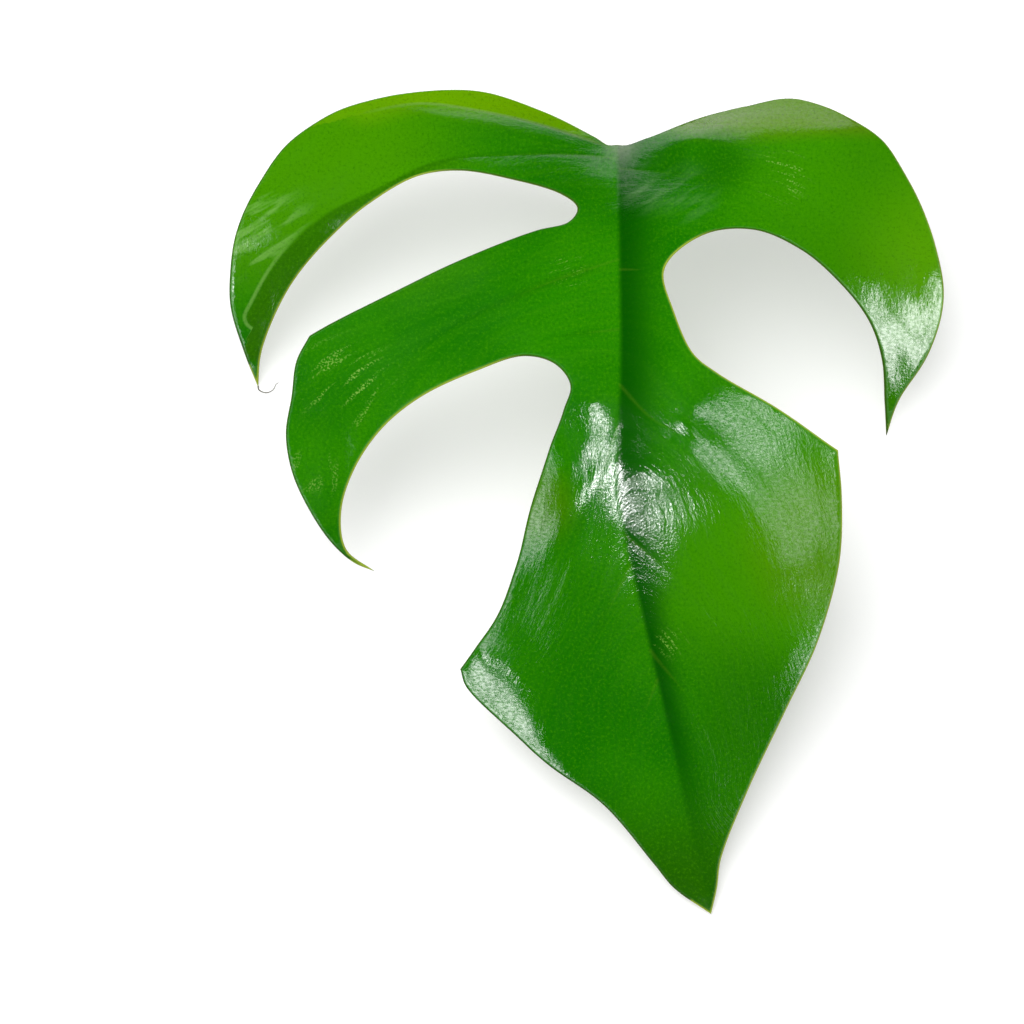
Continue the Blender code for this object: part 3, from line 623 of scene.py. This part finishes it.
def rim_faces(closed, share):
    """The way that the nearest margin faces, at a share of its length: 1 to the right, -1 to the left. The
    skin paints the rim lit where it faces right.
    """
    step = closed[1:] - closed[:-1]
    outward = step[:, 1] / np.linalg.norm(step, axis=1)
    if (closed[:-1, 0] * closed[1:, 1] - closed[1:, 0] * closed[:-1, 1]).sum() < 0.0:
        outward = -outward
    return np.interp(share, np.linspace(0.0, 1.0, len(closed))[:-1], outward)


def placed(name, data):
    obj = bpy.data.objects.new(name, data)
    bpy.context.collection.objects.link(obj)
    return obj


def piece(name, points, faces):
    mesh = bpy.data.meshes.new(name)
    mesh.from_pydata(points.tolist(), [], faces)
    mesh.shade_smooth()
    return placed(name, mesh)


def give(obj, name, values):
    """Stores a number or a vector for each of the mesh's points. Values for one face hold for both faces."""
    values = np.asarray(values, float)
    if len(values) < len(obj.data.vertices):
        values = np.concatenate([values, values])
    kind, key = ("FLOAT", "value") if values.ndim == 1 else ("FLOAT_VECTOR", "vector")
    obj.data.attributes.new(name, kind, "POINT").data.foreach_set(key, values.ravel())


# The hair-fine curl that the upper left tip ends in, as (x, y) in the blade's frame, from the tip
HAIR = (
    (-72.0, 26.9), (-71.9, 26.2), (-71.3, 25.7), (-70.4, 25.5),
    (-69.5, 25.7), (-68.8, 26.3), (-68.5, 27.0), (-67.9, 27.5),
)


def hair_skin():
    """The curl lies on the ground, so its height at each point comes from its place in the picture."""
    line = smooth_through(HAIR, 0.2)
    height = np.full(len(line), UPPER_LEFT_TIP[2])
    eye = np.array(SIGHT_POINT[:2])
    for _ in range(8):
        at = eye + (line - eye) * (1.0 - height / SIGHT_POINT[2])[:, None]
        height = (HAIR_HEIGHT - BLADE_FRAME_AT[2] - at[:, 1] * SIN_TILT) / COS_TILT
    middle = tilted(np.column_stack([at, height])) / MM
    radius = np.linspace(HAIR_RADIUS, HAIR_END_RADIUS, len(line))[:, None, None]
    step = np.gradient(middle, axis=0)
    step /= np.linalg.norm(step, axis=1)[:, None]
    upward = np.array([0.0, 0.0, 1.0])
    across = np.cross(step, upward)
    turn = np.linspace(0.0, 2.0 * math.pi, HAIR_SIDES, endpoint=False)[None, :, None]
    rings = middle[:, None] + radius * (np.cos(turn) * across[:, None] + np.sin(turn) * upward)
    return piece("leaf_tip_hair", rings.reshape(-1, 3) * MM, tube_faces(len(line), HAIR_SIDES))


def tube_faces(rings, sides):
    """The faces of a tube through rings of points, closed at both ends."""
    faces = []
    for i in range(rings - 1):
        for j in range(sides):
            a, b = i * sides + j, i * sides + (j + 1) % sides
            faces.append((a, b, b + sides, a + sides))
    top = (rings - 1) * sides
    return faces + [tuple(range(sides))[::-1], tuple(range(top, top + sides))]


def stalk_skin():
    """The stalk, with its channel, its fine ridges and its cut end. Its first rings lie in the midrib."""
    centre, outer, left, radius = stalk_rings()
    inward = centre[0] - centre[1]
    inward /= np.linalg.norm(inward)
    ahead, slender = np.array(LEAD).T
    centre = np.vstack([centre[0] + inward * ahead[:, None], centre])
    outer, left = (np.vstack([ways[:1]] * len(LEAD) + [ways]) for ways in (outer, left))
    radius = np.concatenate([radius[0] * slender, radius])
    run = run_of(centre)
    tuck = KNEE_TUCK * np.clip(1.0 - (run / KNEE_TUCK_REACH) ** 2, 0.0, 1.0)
    centre = centre - np.outer(tuck, [0.0, COS_TILT, SIN_TILT])
    # Past the knee the height is evened out along the stalk, so that it lies down without a step
    weights = np.hanning(13)[1:-1]
    eased = np.convolve(np.pad(centre[:, 2], 5, mode="edge"), weights / weights.sum(), "valid")
    centre[:, 2] += np.clip((run - 18.0) / 6.0, 0.0, 1.0) * (eased - centre[:, 2])
    stations = len(centre)
    angles = np.linspace(0.0, 2.0 * math.pi, STALK_SIDES, endpoint=False)
    rings, spots = [], []
    for i in range(stations):
        along = i / (stations - 1)
        channel_at = math.radians(STALK_TWIST) * min(1.0, 4.0 * along)
        away = (angles - channel_at + math.pi) % (2.0 * math.pi) - math.pi
        reach = radius[i] - STALK_CHANNEL * min(1.0, 8.0 * along) * bell(away, STALK_CHANNEL_WIDTH)
        reach -= STALK_RIDGE * (0.5 - 0.5 * np.cos(STALK_RIDGES * (angles + 0.5 * along)))
        ring = centre[i] + np.outer(reach * np.cos(angles), outer[i])
        ring += np.outer(reach * np.sin(angles), left[i])
        slant = math.tan(math.radians(CUT_SLANT)) * max(0.0, along - 1.0 + CUT_SHARE) / CUT_SHARE
        ring[:, 1] += slant * (ring[:, 2] - centre[i, 2])
        rings.append(ring)
        spots += [(run[i], a * radius[i], 0.0) for a in angles]
    end = rings[-1]
    for inset in (0.93, 0.72, 0.4):
        rings.append(end.mean(axis=0) + (end - end.mean(axis=0)) * inset - [0.0, 0.12 * (1.0 - inset), 0.0])
        spots += [(run[-1], a * radius[-1], 1.0) for a in angles]
    points = np.vstack(rings)
    points[:, 2] = np.maximum(points[:, 2], LEAST_HEIGHT)
    skin = piece("leaf_stalk", points * MM, tube_faces(len(rings), STALK_SIDES))
    give(skin, "fibre", spots)
    return skin


# How dark a surface is beside what it looks like, because the scene's light is brighter than 1
IN_LIGHT = 0.78


class Shader:
    """A material's node tree, built a node at a time. Its colour is painted on in layers."""

    def __init__(self, name):
        self.material = bpy.data.materials.new(name)
        self.material.use_nodes = True
        self.tree = self.material.node_tree
        self.colour = None

    def finished(self, inputs):
        """The material, with these inputs of its surface set to a value or fed by a node."""
        for key, value in inputs.items():
            self.feed(self.tree.nodes["Principled BSDF"].inputs[key], value)
        return self.material

    def node(self, kind, inputs=(), **settings):
        made = self.tree.nodes.new("ShaderNode" + kind)
        for key, value in settings.items():
            setattr(made, key, value)
        for key, value in dict(inputs).items():
            self.feed(made.inputs[key], value)
        return made

    def feed(self, socket, value):
        if isinstance(value, bpy.types.NodeSocket):
            self.tree.links.new(value, socket)
        elif isinstance(value, tuple) and len(value) == 3 and socket.type == "RGBA":
            socket.default_value = (*value, 1.0)
        else:
            socket.default_value = value

    def attribute(self, name, output="Fac"):
        return self.node("Attribute", attribute_name=name).outputs[output]

    def parts(self, vector):
        return self.node("SeparateXYZ", {0: vector}).outputs

    def math(self, operation, *values):
        return self.node("Math", dict(enumerate(values)), operation=operation).outputs[0]

    def times(self, first, *others):
        for other in others:
            first = self.math("MULTIPLY", first, other)
        return first

    def ramp(self, value, low, high, to_low=0.0, to_high=1.0):
        """A smooth step from to_low, where the value is low, to to_high."""
        inputs = {"Value": value, "From Min": low, "From Max": high, "To Min": to_low, "To Max": to_high}
        return self.node("MapRange", inputs, interpolation_type="SMOOTHSTEP").outputs[0]

    def line(self, value, at, inner, outer):
        """1 where the value is within inner of at, falling to 0 at outer."""
        away = self.math("ABSOLUTE", self.math("SUBTRACT", value, at))
        return self.ramp(away, inner, outer, 1.0, 0.0)

    def spot(self, place, x, y, inner, outer):
        """1 within inner of (x, y) on the blade, falling to 0 at outer."""
        inputs = {0: place, 1: (x, y, 0.0)}
        away = self.node("VectorMath", inputs, operation="DISTANCE").outputs["Value"]
        return self.ramp(away, inner, outer, 1.0, 0.0)

    def spots(self, place, first, *others):
        """The largest of several spots, each given as (x, y, inner, outer)."""
        largest = self.spot(place, *first)
        for other in others:
            largest = self.math("MAXIMUM", largest, self.spot(place, *other))
        return largest

    def mix(self, share, first, second):
        inputs = {0: share, 6: first, 7: second}
        return self.node("Mix", inputs, data_type="RGBA", blend_type="MIX").outputs[2]

    def paint(self, colour, *shares):
        """Lays a colour over what is there, by the product of the shares."""
        self.colour = self.mix(self.times(*shares), self.colour, srgb(*colour))

    def stretched(self, vector, scale):
        return self.node("VectorMath", {0: vector, 1: scale}, operation="MULTIPLY").outputs[0]

    def turned(self, vector, degrees):
        """The vector turned about the blade's height, so that streaks can run at a slant."""
        inputs = {"Vector": vector, "Angle": math.radians(degrees)}
        return self.node("VectorRotate", inputs, rotation_type="Z_AXIS").outputs[0]

    def noise(self, vector, scale, detail=2.0, roughness=0.5, distortion=0.0):
        inputs = {"Vector": vector, "Scale": scale, "Detail": detail, "Roughness": roughness}
        return self.node("TexNoise", {**inputs, "Distortion": distortion}).outputs["Fac"]

    def bumps(self, *layers):
        """Relief from several layers, each given as (height, distance in metres)."""
        under = None
        for height, distance in layers:
            made = self.node("Bump", {"Height": height, "Distance": distance})
            if under is not None:
                self.feed(made.inputs["Normal"], under)
            under = made.outputs[0]
        return under


def srgb(*values):
    """The colour of a surface that looks like this in the scene's light."""
    shares = (v / 255.0 for v in values)
    return tuple(IN_LIGHT * (v / 12.92 if v <= 0.04 else ((v + 0.055) / 1.055) ** 2.4) for v in shares)


# Broad patches of the upper face, as (x, y, inner reach, outer reach, share, colour)
PATCHES = (
    (66.0, 52.0, 2.0, 26.0, 1.0, (92, 166, 4)),
    (26.0, -8.0, 6.0, 32.0, 0.6, (70, 150, 0)),
    (42.0, -4.0, 7.0, 22.0, 0.8, (86, 144, 0)),
    (-16.0, 3.0, 3.0, 11.0, 0.45, (84, 118, 0)),
    (-7.0, 44.0, 5.0, 22.0, 0.6, (40, 134, 0)),
)
# Darker patches of the end lobe, the same way
END_PATCHES = (
    (-14.0, -20.0, 4.0, 24.0, 0.7, (24, 111, 0)),
    (30.0, -40.0, 3.0, 22.0, 1.0, (32, 112, 0)),
)
# Where the skin shows fine pale flecks, partly scuffs and partly painted glints along the veins, as (x, y,
# inner reach, outer reach)
SCUFFS_AND_GLINTS = (
    (-54.0, 27.0, 3.0, 13.0), (-60.0, 10.0, 1.0, 8.0), (-10.0, 49.6, 1.0, 5.0),
    (10.4, -24.0, 0.0, 5.0), (33.0, 69.0, 1.0, 8.0),
)
DRIED_TIPS = RIGHT_TIP, UPPER_LEFT_TIP, LOWER_LEFT_TIP


def leaf_inputs(shade):
    """What blade_skin gives each point of the mesh, and the noises that several parts of the skin share."""
    at = SimpleNamespace(fibre=shade.attribute("fibre", "Vector"), place=shade.attribute("place", "Vector"))
    at.x, at.y, _ = shade.parts(at.place)
    at.rim, at.veins, at.upper = shade.attribute("rim"), shade.attribute("veins"), shade.attribute("upper")
    at.mid = shade.attribute("mid")
    at.near = shade.math("ABSOLUTE", at.mid)
    at.fold, at.low_fold, at.faces = shade.parts(shade.attribute("folds", "Vector"))
    at.broad = shade.noise(at.place, 0.035, 2.0)
    at.strands = shade.noise(shade.stretched(at.fibre, (0.55, 0.045, 0.0)), 1.0, 3.0, 0.6)
    at.streaks = shade.noise(shade.stretched(shade.turned(at.place, -30.0), (0.09, 0.5, 0.0)), 1.0, 2.0, 0.6)
    at.edge = shade.ramp(at.rim, 0.1, 0.45, 0.85, 0.0)
    return at


def paint_broad_greens(shade, at):
    """The upper face's broad greens, and the upper left lobe's bands, which turn over along two folds: a
    painted glow of light through them, painted highlights along the folds, painted shade inside the lower
    fold and painted sheen streaks by the tip.
    """
    x, y = at.x, at.y
    shade.colour = shade.mix(shade.ramp(at.broad, 0.35, 0.65), srgb(21, 111, 0), srgb(37, 126, 0))
    shade.paint((60, 143, 0), shade.ramp(x, 10.0, 46.0, 0.0, 0.9))
    for *spot, share, colour in PATCHES:
        shade.paint(colour, shade.spot(at.place, *spot), share)
    shade.paint((66, 140, 0), shade.ramp(x, -20.0, -50.0), shade.ramp(y, 40.0, 56.0))
    # Painted glow of light shining through the thin bands that turn over at the upper left
    glow_band = shade.times(shade.ramp(x, -3.0, -10.0), shade.ramp(at.fold, -0.4, 1.0))
    shade.paint((104, 158, 0), glow_band, shade.ramp(x, -54.0, -36.0))
    soft_glow_band = shade.times(shade.ramp(x, -14.0, -34.0), shade.ramp(at.fold, -9.0, 3.0))
    shade.paint((104, 161, 0), soft_glow_band, shade.ramp(x, -78.0, -50.0, 0.0, 0.75))
    # A painted highlight along the crest of the upper fold
    ridge = shade.times(shade.line(at.fold, 0.1, 0.1, 1.1), shade.ramp(x, -2.0, -6.0))
    shade.paint((146, 170, 112), ridge, shade.ramp(x, -56.0, -24.0, 0.0, 0.4))

    from_fold = shade.math("SUBTRACT", at.low_fold, shade.ramp(x, -48.0, -70.0, 0.6, 2.7))
    # Painted shade on the inner side of the lower fold, towards the upper left tip
    inner = shade.times(shade.ramp(x, -26.0, -46.0), shade.ramp(from_fold, 0.6, -0.5))
    shade.paint((44, 106, 0), inner, shade.ramp(at.low_fold, -11.0, -9.0))
    # Painted sheen: pale slanting streaks by the upper left tip, and a painted highlight along the lower fold
    # beside them
    painted_sheen_streaks = shade.times(shade.spot(at.place, -71.0, 57.5, 4.0, 13.0), shade.ramp(from_fold, 0.0, 1.5))
    shade.paint((112, 170, 70), painted_sheen_streaks, shade.ramp(at.streaks, 0.45, 0.62, 0.0, 0.8))
    shade.paint((130, 180, 84), shade.line(from_fold, 0.4, 0.1, 0.6), shade.ramp(x, -62.0, -72.0, 0.0, 0.5))

    shade.paint((34, 92, 0), shade.ramp(y, -46.0, -76.0, 0.0, 0.9))
    for *spot, share, colour in END_PATCHES:
        shade.paint(colour, shade.spot(at.place, *spot), share)


def paint_fine_greens(shade, at):
    """The painted shade in the fold along the midrib, the strands, the veins, the painted sheen and shade by
    the notch, the flecks with painted glints, and the painted light on the edge.
    """
    x, y, place, veins = at.x, at.y, at.place, at.veins
    spread = shade.times(at.near, shade.ramp(y, -28.0, -4.0, 1.9, 1.0))
    shadow = shade.times(shade.ramp(spread, 0.6, 12.0, 1.0, 0.0), shade.ramp(at.mid, -0.7, 0.8))
    shadow = shade.times(shadow, shade.ramp(y, -70.0, -32.0, 0.25, 1.0))
    shade.paint((6, 80, 0), shadow)
    plain = shade.ramp(shadow, 0.0, 0.8, 1.0, 0.15)
    strand = shade.times(plain, shade.ramp(y, -50.0, -10.0, 0.3, 1.0))
    shade.paint((66, 148, 0), strand, shade.ramp(at.strands, 0.35, 0.75, 0.0, 0.2))
    shade.paint((16, 88, 0), shade.ramp(veins, 0.2, 2.4, 0.28, 0.0), shade.ramp(x, 0.0, -8.0))
    shade.paint((128, 172, 40), shade.ramp(veins, 0.1, 0.6, 1.0, 0.0), 0.08)
    seam = shade.ramp(veins, 0.1, 0.45, 1.0, 0.0)
    shade.paint((150, 160, 96), seam, shade.spot(place, 19.0, 10.0, 5.0, 14.0), 0.5)

    # Painted sheen: pale grey streaks right of the notch
    painted_sheen_mist = shade.spots(place, (6.0, 67.5, 1.0, 8.0), (14.0, 65.5, 0.0, 8.0))
    shade.paint((112, 156, 96), painted_sheen_mist, shade.ramp(at.streaks, 0.4, 0.7, 0.0, 0.4))
    # A painted pale sheen at the notch
    shade.paint((146, 160, 134), shade.spot(place, 0.8, 75.2, 0.5, 5.5), 0.55)
    shade.paint((104, 140, 16), shade.ramp(y, 74.5, 79.0), shade.ramp(x, 3.0, 14.0), 0.75)
    # Painted shade right of the notch
    shade.paint((22, 100, 0), shade.spots(place, (9.0, 71.5, 2.0, 9.0), (20.0, 71.0, 1.0, 9.0)), 0.7)

    speckle = shade.noise(place, 1.7, 3.0, 0.8)
    shade.paint((76, 156, 0), plain, shade.ramp(speckle, 0.5, 0.7, 0.0, 0.4))
    shade.paint((14, 88, 0), shade.ramp(speckle, 0.5, 0.3, 0.0, 0.45))
    # Fine pale flecks: scuffs, and painted glints along the veins
    flecks = shade.noise(shade.stretched(at.fibre, (1.5, 0.09, 0.0)), 1.0, 1.0, 0.5, 0.4)
    flecks = shade.times(shade.ramp(flecks, 0.56, 0.66), shade.ramp(shade.noise(place, 2.3, 1.0), 0.48, 0.62))
    shade.paint((116, 170, 62), flecks, shade.spots(place, *SCUFFS_AND_GLINTS))
    for tip_x, tip_y, _ in DRIED_TIPS:
        shade.paint((112, 78, 34), shade.spot(place, tip_x, tip_y, 0.5, 1.6), 0.8)
    # Painted light on the rim: pale where the margin faces right, towards the light, and darker olive where
    # it faces away
    painted_rim_light = shade.mix(shade.ramp(at.faces, -0.4, 0.5), srgb(58, 92, 14), srgb(170, 188, 62))
    shade.colour = shade.mix(at.edge, shade.colour, painted_rim_light)


def paint_underside(shade, at):
    """The paler lower face, with its ribs paler still."""
    shade.colour = shade.mix(shade.ramp(at.broad, 0.35, 0.65), srgb(104, 146, 62), srgb(122, 160, 78))
    shade.paint((140, 176, 92), shade.ramp(at.strands, 0.3, 0.7, 0.0, 0.3))
    shade.paint((170, 186, 104), shade.ramp(at.veins, 0.5, 1.6, 0.7, 0.0))
    shade.paint((178, 192, 108), shade.ramp(at.near, 0.9, 2.6, 0.85, 0.0))
    shade.paint((176, 178, 92), at.edge)


def leaf_material():
    shade = Shader("leaf_skin")
    at = leaf_inputs(shade)
    paint_broad_greens(shade, at)
    paint_fine_greens(shade, at)
    green = shade.colour
    paint_underside(shade, at)

    wet = shade.noise(shade.stretched(at.fibre, (0.25, 0.05, 0.0)), 1.0, 2.0)
    under_rough = shade.times(shade.math("SUBTRACT", 1.0, at.upper), 0.3)
    rough = shade.math("ADD", shade.ramp(wet, 0.3, 0.7, 0.08, 0.12), under_rough)
    rough = shade.math("ADD", rough, shade.ramp(at.rim, 0.25, 0.8, 0.4, 0.0))
    leathery = shade.noise(shade.stretched(at.place, (1.1, 2.0, 1.0)), 1.0, 3.0, 0.75)
    shiny = shade.times(shade.spots(at.place, (-2.0, 8.0, 4.0, 14.0), (56.0, 36.0, 5.0, 20.0)), 0.22)
    gleam = shade.math("ADD", shade.ramp(leathery, 0.36, 0.64, 0.2, 0.8), shiny)
    ripple = shade.noise(shade.stretched(at.fibre, (0.34, 0.17, 0.0)), 1.0, 2.0, 0.6)
    crinkle = shade.noise(shade.stretched(at.fibre, (2.0, 0.8, 0.0)), 1.0, 2.0, 0.6, 0.3)
    grain = shade.noise(at.place, 2.3, 2.0, 0.7)
    return shade.finished({
        "Base Color": shade.mix(at.upper, shade.colour, green),
        "Roughness": rough,
        "Specular IOR Level": shade.times(gleam, shade.ramp(at.rim, 0.25, 0.7, 0.1, 1.0)),
        "IOR": 1.45,
        "Normal": shade.bumps((ripple, 0.00008), (crinkle, 0.000024), (grain, 0.000026)),
    })


def stalk_material():
    shade = Shader("stalk_skin")
    fibre = shade.attribute("fibre", "Vector")
    run, _, cut = shade.parts(fibre)
    streaks = shade.noise(shade.stretched(fibre, (0.05, 1.6, 0.0)), 1.0, 3.0, 0.6)
    broad = shade.noise(shade.stretched(fibre, (0.06, 0.2, 0.0)), 1.0, 2.0)
    flecks = shade.noise(shade.stretched(fibre, (1.4, 3.2, 0.0)), 1.0, 2.0, 0.6)
    shade.colour = shade.mix(shade.ramp(broad, 0.35, 0.65), srgb(84, 138, 34), srgb(104, 158, 48))
    shade.paint((136, 178, 78), shade.ramp(streaks, 0.35, 0.7, 0.0, 0.55))
    shade.paint((118, 160, 64), shade.ramp(run, 0.0, 16.0, 0.55, 0.0))
    shade.paint((182, 206, 132), shade.ramp(flecks, 0.62, 0.75, 0.0, 0.35))
    shade.paint((150, 150, 84), shade.ramp(run, 118.0, 127.0, 0.0, 0.5))
    strands = shade.noise(fibre, 1.4, 2.0)
    face = shade.mix(shade.ramp(strands, 0.45, 0.6), srgb(190, 200, 130), srgb(160, 150, 90))
    return shade.finished({
        "Base Color": shade.mix(cut, shade.colour, face),
        "Roughness": shade.ramp(streaks, 0.3, 0.7, 0.36, 0.5),
        "IOR": 1.45,
        "Normal": shade.bumps((streaks, 0.00025), (flecks, 0.00005)),
    })


def hair_material():
    shade = Shader("dry_hair")
    place = shade.node("TexCoord").outputs["Object"]
    brown = shade.mix(shade.noise(place, 1500.0), srgb(92, 78, 48), srgb(58, 56, 30))
    return shade.finished({"Base Color": brown, "Roughness": 0.6})


def floor_material():
    """A pale floor that glows a little, so that it shows white."""
    shade = Shader("floor_white")
    place = shade.node("TexCoord").outputs["Object"]
    return shade.finished({
        "Base Color": shade.mix(shade.noise(place, 3.0), (0.6, 0.6, 0.6), (0.62, 0.62, 0.62)),
        "Emission Color": (1.0, 1.0, 1.0),
        "Emission Strength": 0.4,
        "Roughness": 0.9,
        "Specular IOR Level": 0.1,
    })


# The floor, and where the lamps aim, in metres
FLOOR_SIZE, FLOOR_HEIGHT = 8.0, -0.0002
LIT = Vector((0.006, -0.01, 0.04))
SKY_STRENGTH = 0.62
# The lamp that lights the leaf and the floor, and doesn't show in the gloss
KEY = ((-0.25, 0.45, 0.86), 1.6, (1.4, 1.4), 30.0, 0.0)
# The lamps that show only in the gloss, as (direction in the blade's frame, distance, size, power, roll)
SHEENS = {
    "sheen_front_left": ((-0.251, 0.123, 0.960), 1.6, (0.608, 0.194), 7.0, -52.8),
    "sheen_front_low": ((-0.143, -0.092, 0.985), 1.6, (0.185, 0.338), 8.5, 74.4),
    "sheen_front_right": ((0.431, 0.274, 0.860), 1.6, (0.676, 0.180), 3.2, -61.5),
    "sheen_left": ((-0.883, -0.128, 0.452), 1.6, (0.716, 0.620), 6.9, 1.2),
    "sheen_left_low": ((-0.794, -0.589, 0.149), 1.6, (0.876, 0.425), 13.8, 15.9),
    "sheen_left_far": ((-0.777, -0.443, 0.448), 1.6, (0.246, 0.180), 2.9, -22.2),
    "sheen_right_low": ((0.596, -0.032, 0.803), 1.6, (0.416, 0.828), 3.2, -34.8),
    "sheen_right": ((0.966, -0.258, 0.011), 1.6, (0.688, 0.645), 14.5, 14.6),
    "sheen_right_under": ((0.748, -0.587, 0.310), 1.6, (0.496, 1.343), 21.4, 16.3),
    "sheen_back": ((-0.121, 0.766, -0.631), 1.8, (1.557, 0.957), 3.3, -36.2),
}


def panel(name, towards, distance, size, power, roll):
    """A soft rectangular lamp that aims at the leaf."""
    light = bpy.data.lights.new(name, "AREA")
    light.shape = "RECTANGLE"
    light.size, light.size_y = size
    light.energy = power
    obj = placed(name, light)
    x, y, z = towards
    way = Vector((x, y * COS_TILT - z * SIN_TILT, y * SIN_TILT + z * COS_TILT)).normalized()
    obj.location = LIT + way * distance
    turn = way.to_track_quat("Z", "Y") @ Quaternion((0.0, 0.0, 1.0), math.radians(roll))
    obj.rotation_euler = turn.to_euler()
    obj.visible_camera = False
    return obj


blade = blade_skin()
blade.data.materials.append(leaf_material())
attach(blade, "root")
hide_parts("blade")

stalk = stalk_skin()
stalk.data.materials.append(stalk_material())
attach(stalk, "root")
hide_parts("petiole")

hair = hair_skin()
hair.data.materials.append(hair_material())
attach(hair, "root")

bpy.ops.mesh.primitive_plane_add(size=FLOOR_SIZE, location=(0.0, 0.0, FLOOR_HEIGHT))
floor = bpy.context.object
floor.name = "floor"
floor.data.materials.append(floor_material())
floor.visible_glossy = False
floor.visible_shadow = False

world = bpy.data.worlds.new("studio")
world.use_nodes = True
sky = world.node_tree.nodes["Background"].inputs
sky["Color"].default_value = (1.0, 1.0, 1.0, 1.0)
sky["Strength"].default_value = SKY_STRENGTH
bpy.context.scene.world = world
world.cycles_visibility.glossy = False

panel("key", *KEY).visible_glossy = False
for lamp_name, lamp in SHEENS.items():
    panel(lamp_name, *lamp).visible_diffuse = False

eye = bpy.data.cameras.new("camera")
eye.sensor_width = SENSOR_WIDTH
eye.lens = SENSOR_WIDTH * SIGHT_POINT[2] / PICTURE_WIDTH
camera = placed("camera", eye)
camera.location = Vector(tilted([SIGHT_POINT])[0])
camera.rotation_euler = (math.radians(BLADE_TILT), 0.0, 0.0)
bpy.context.scene.camera = camera
bpy.context.scene.view_settings.view_transform = "Standard"
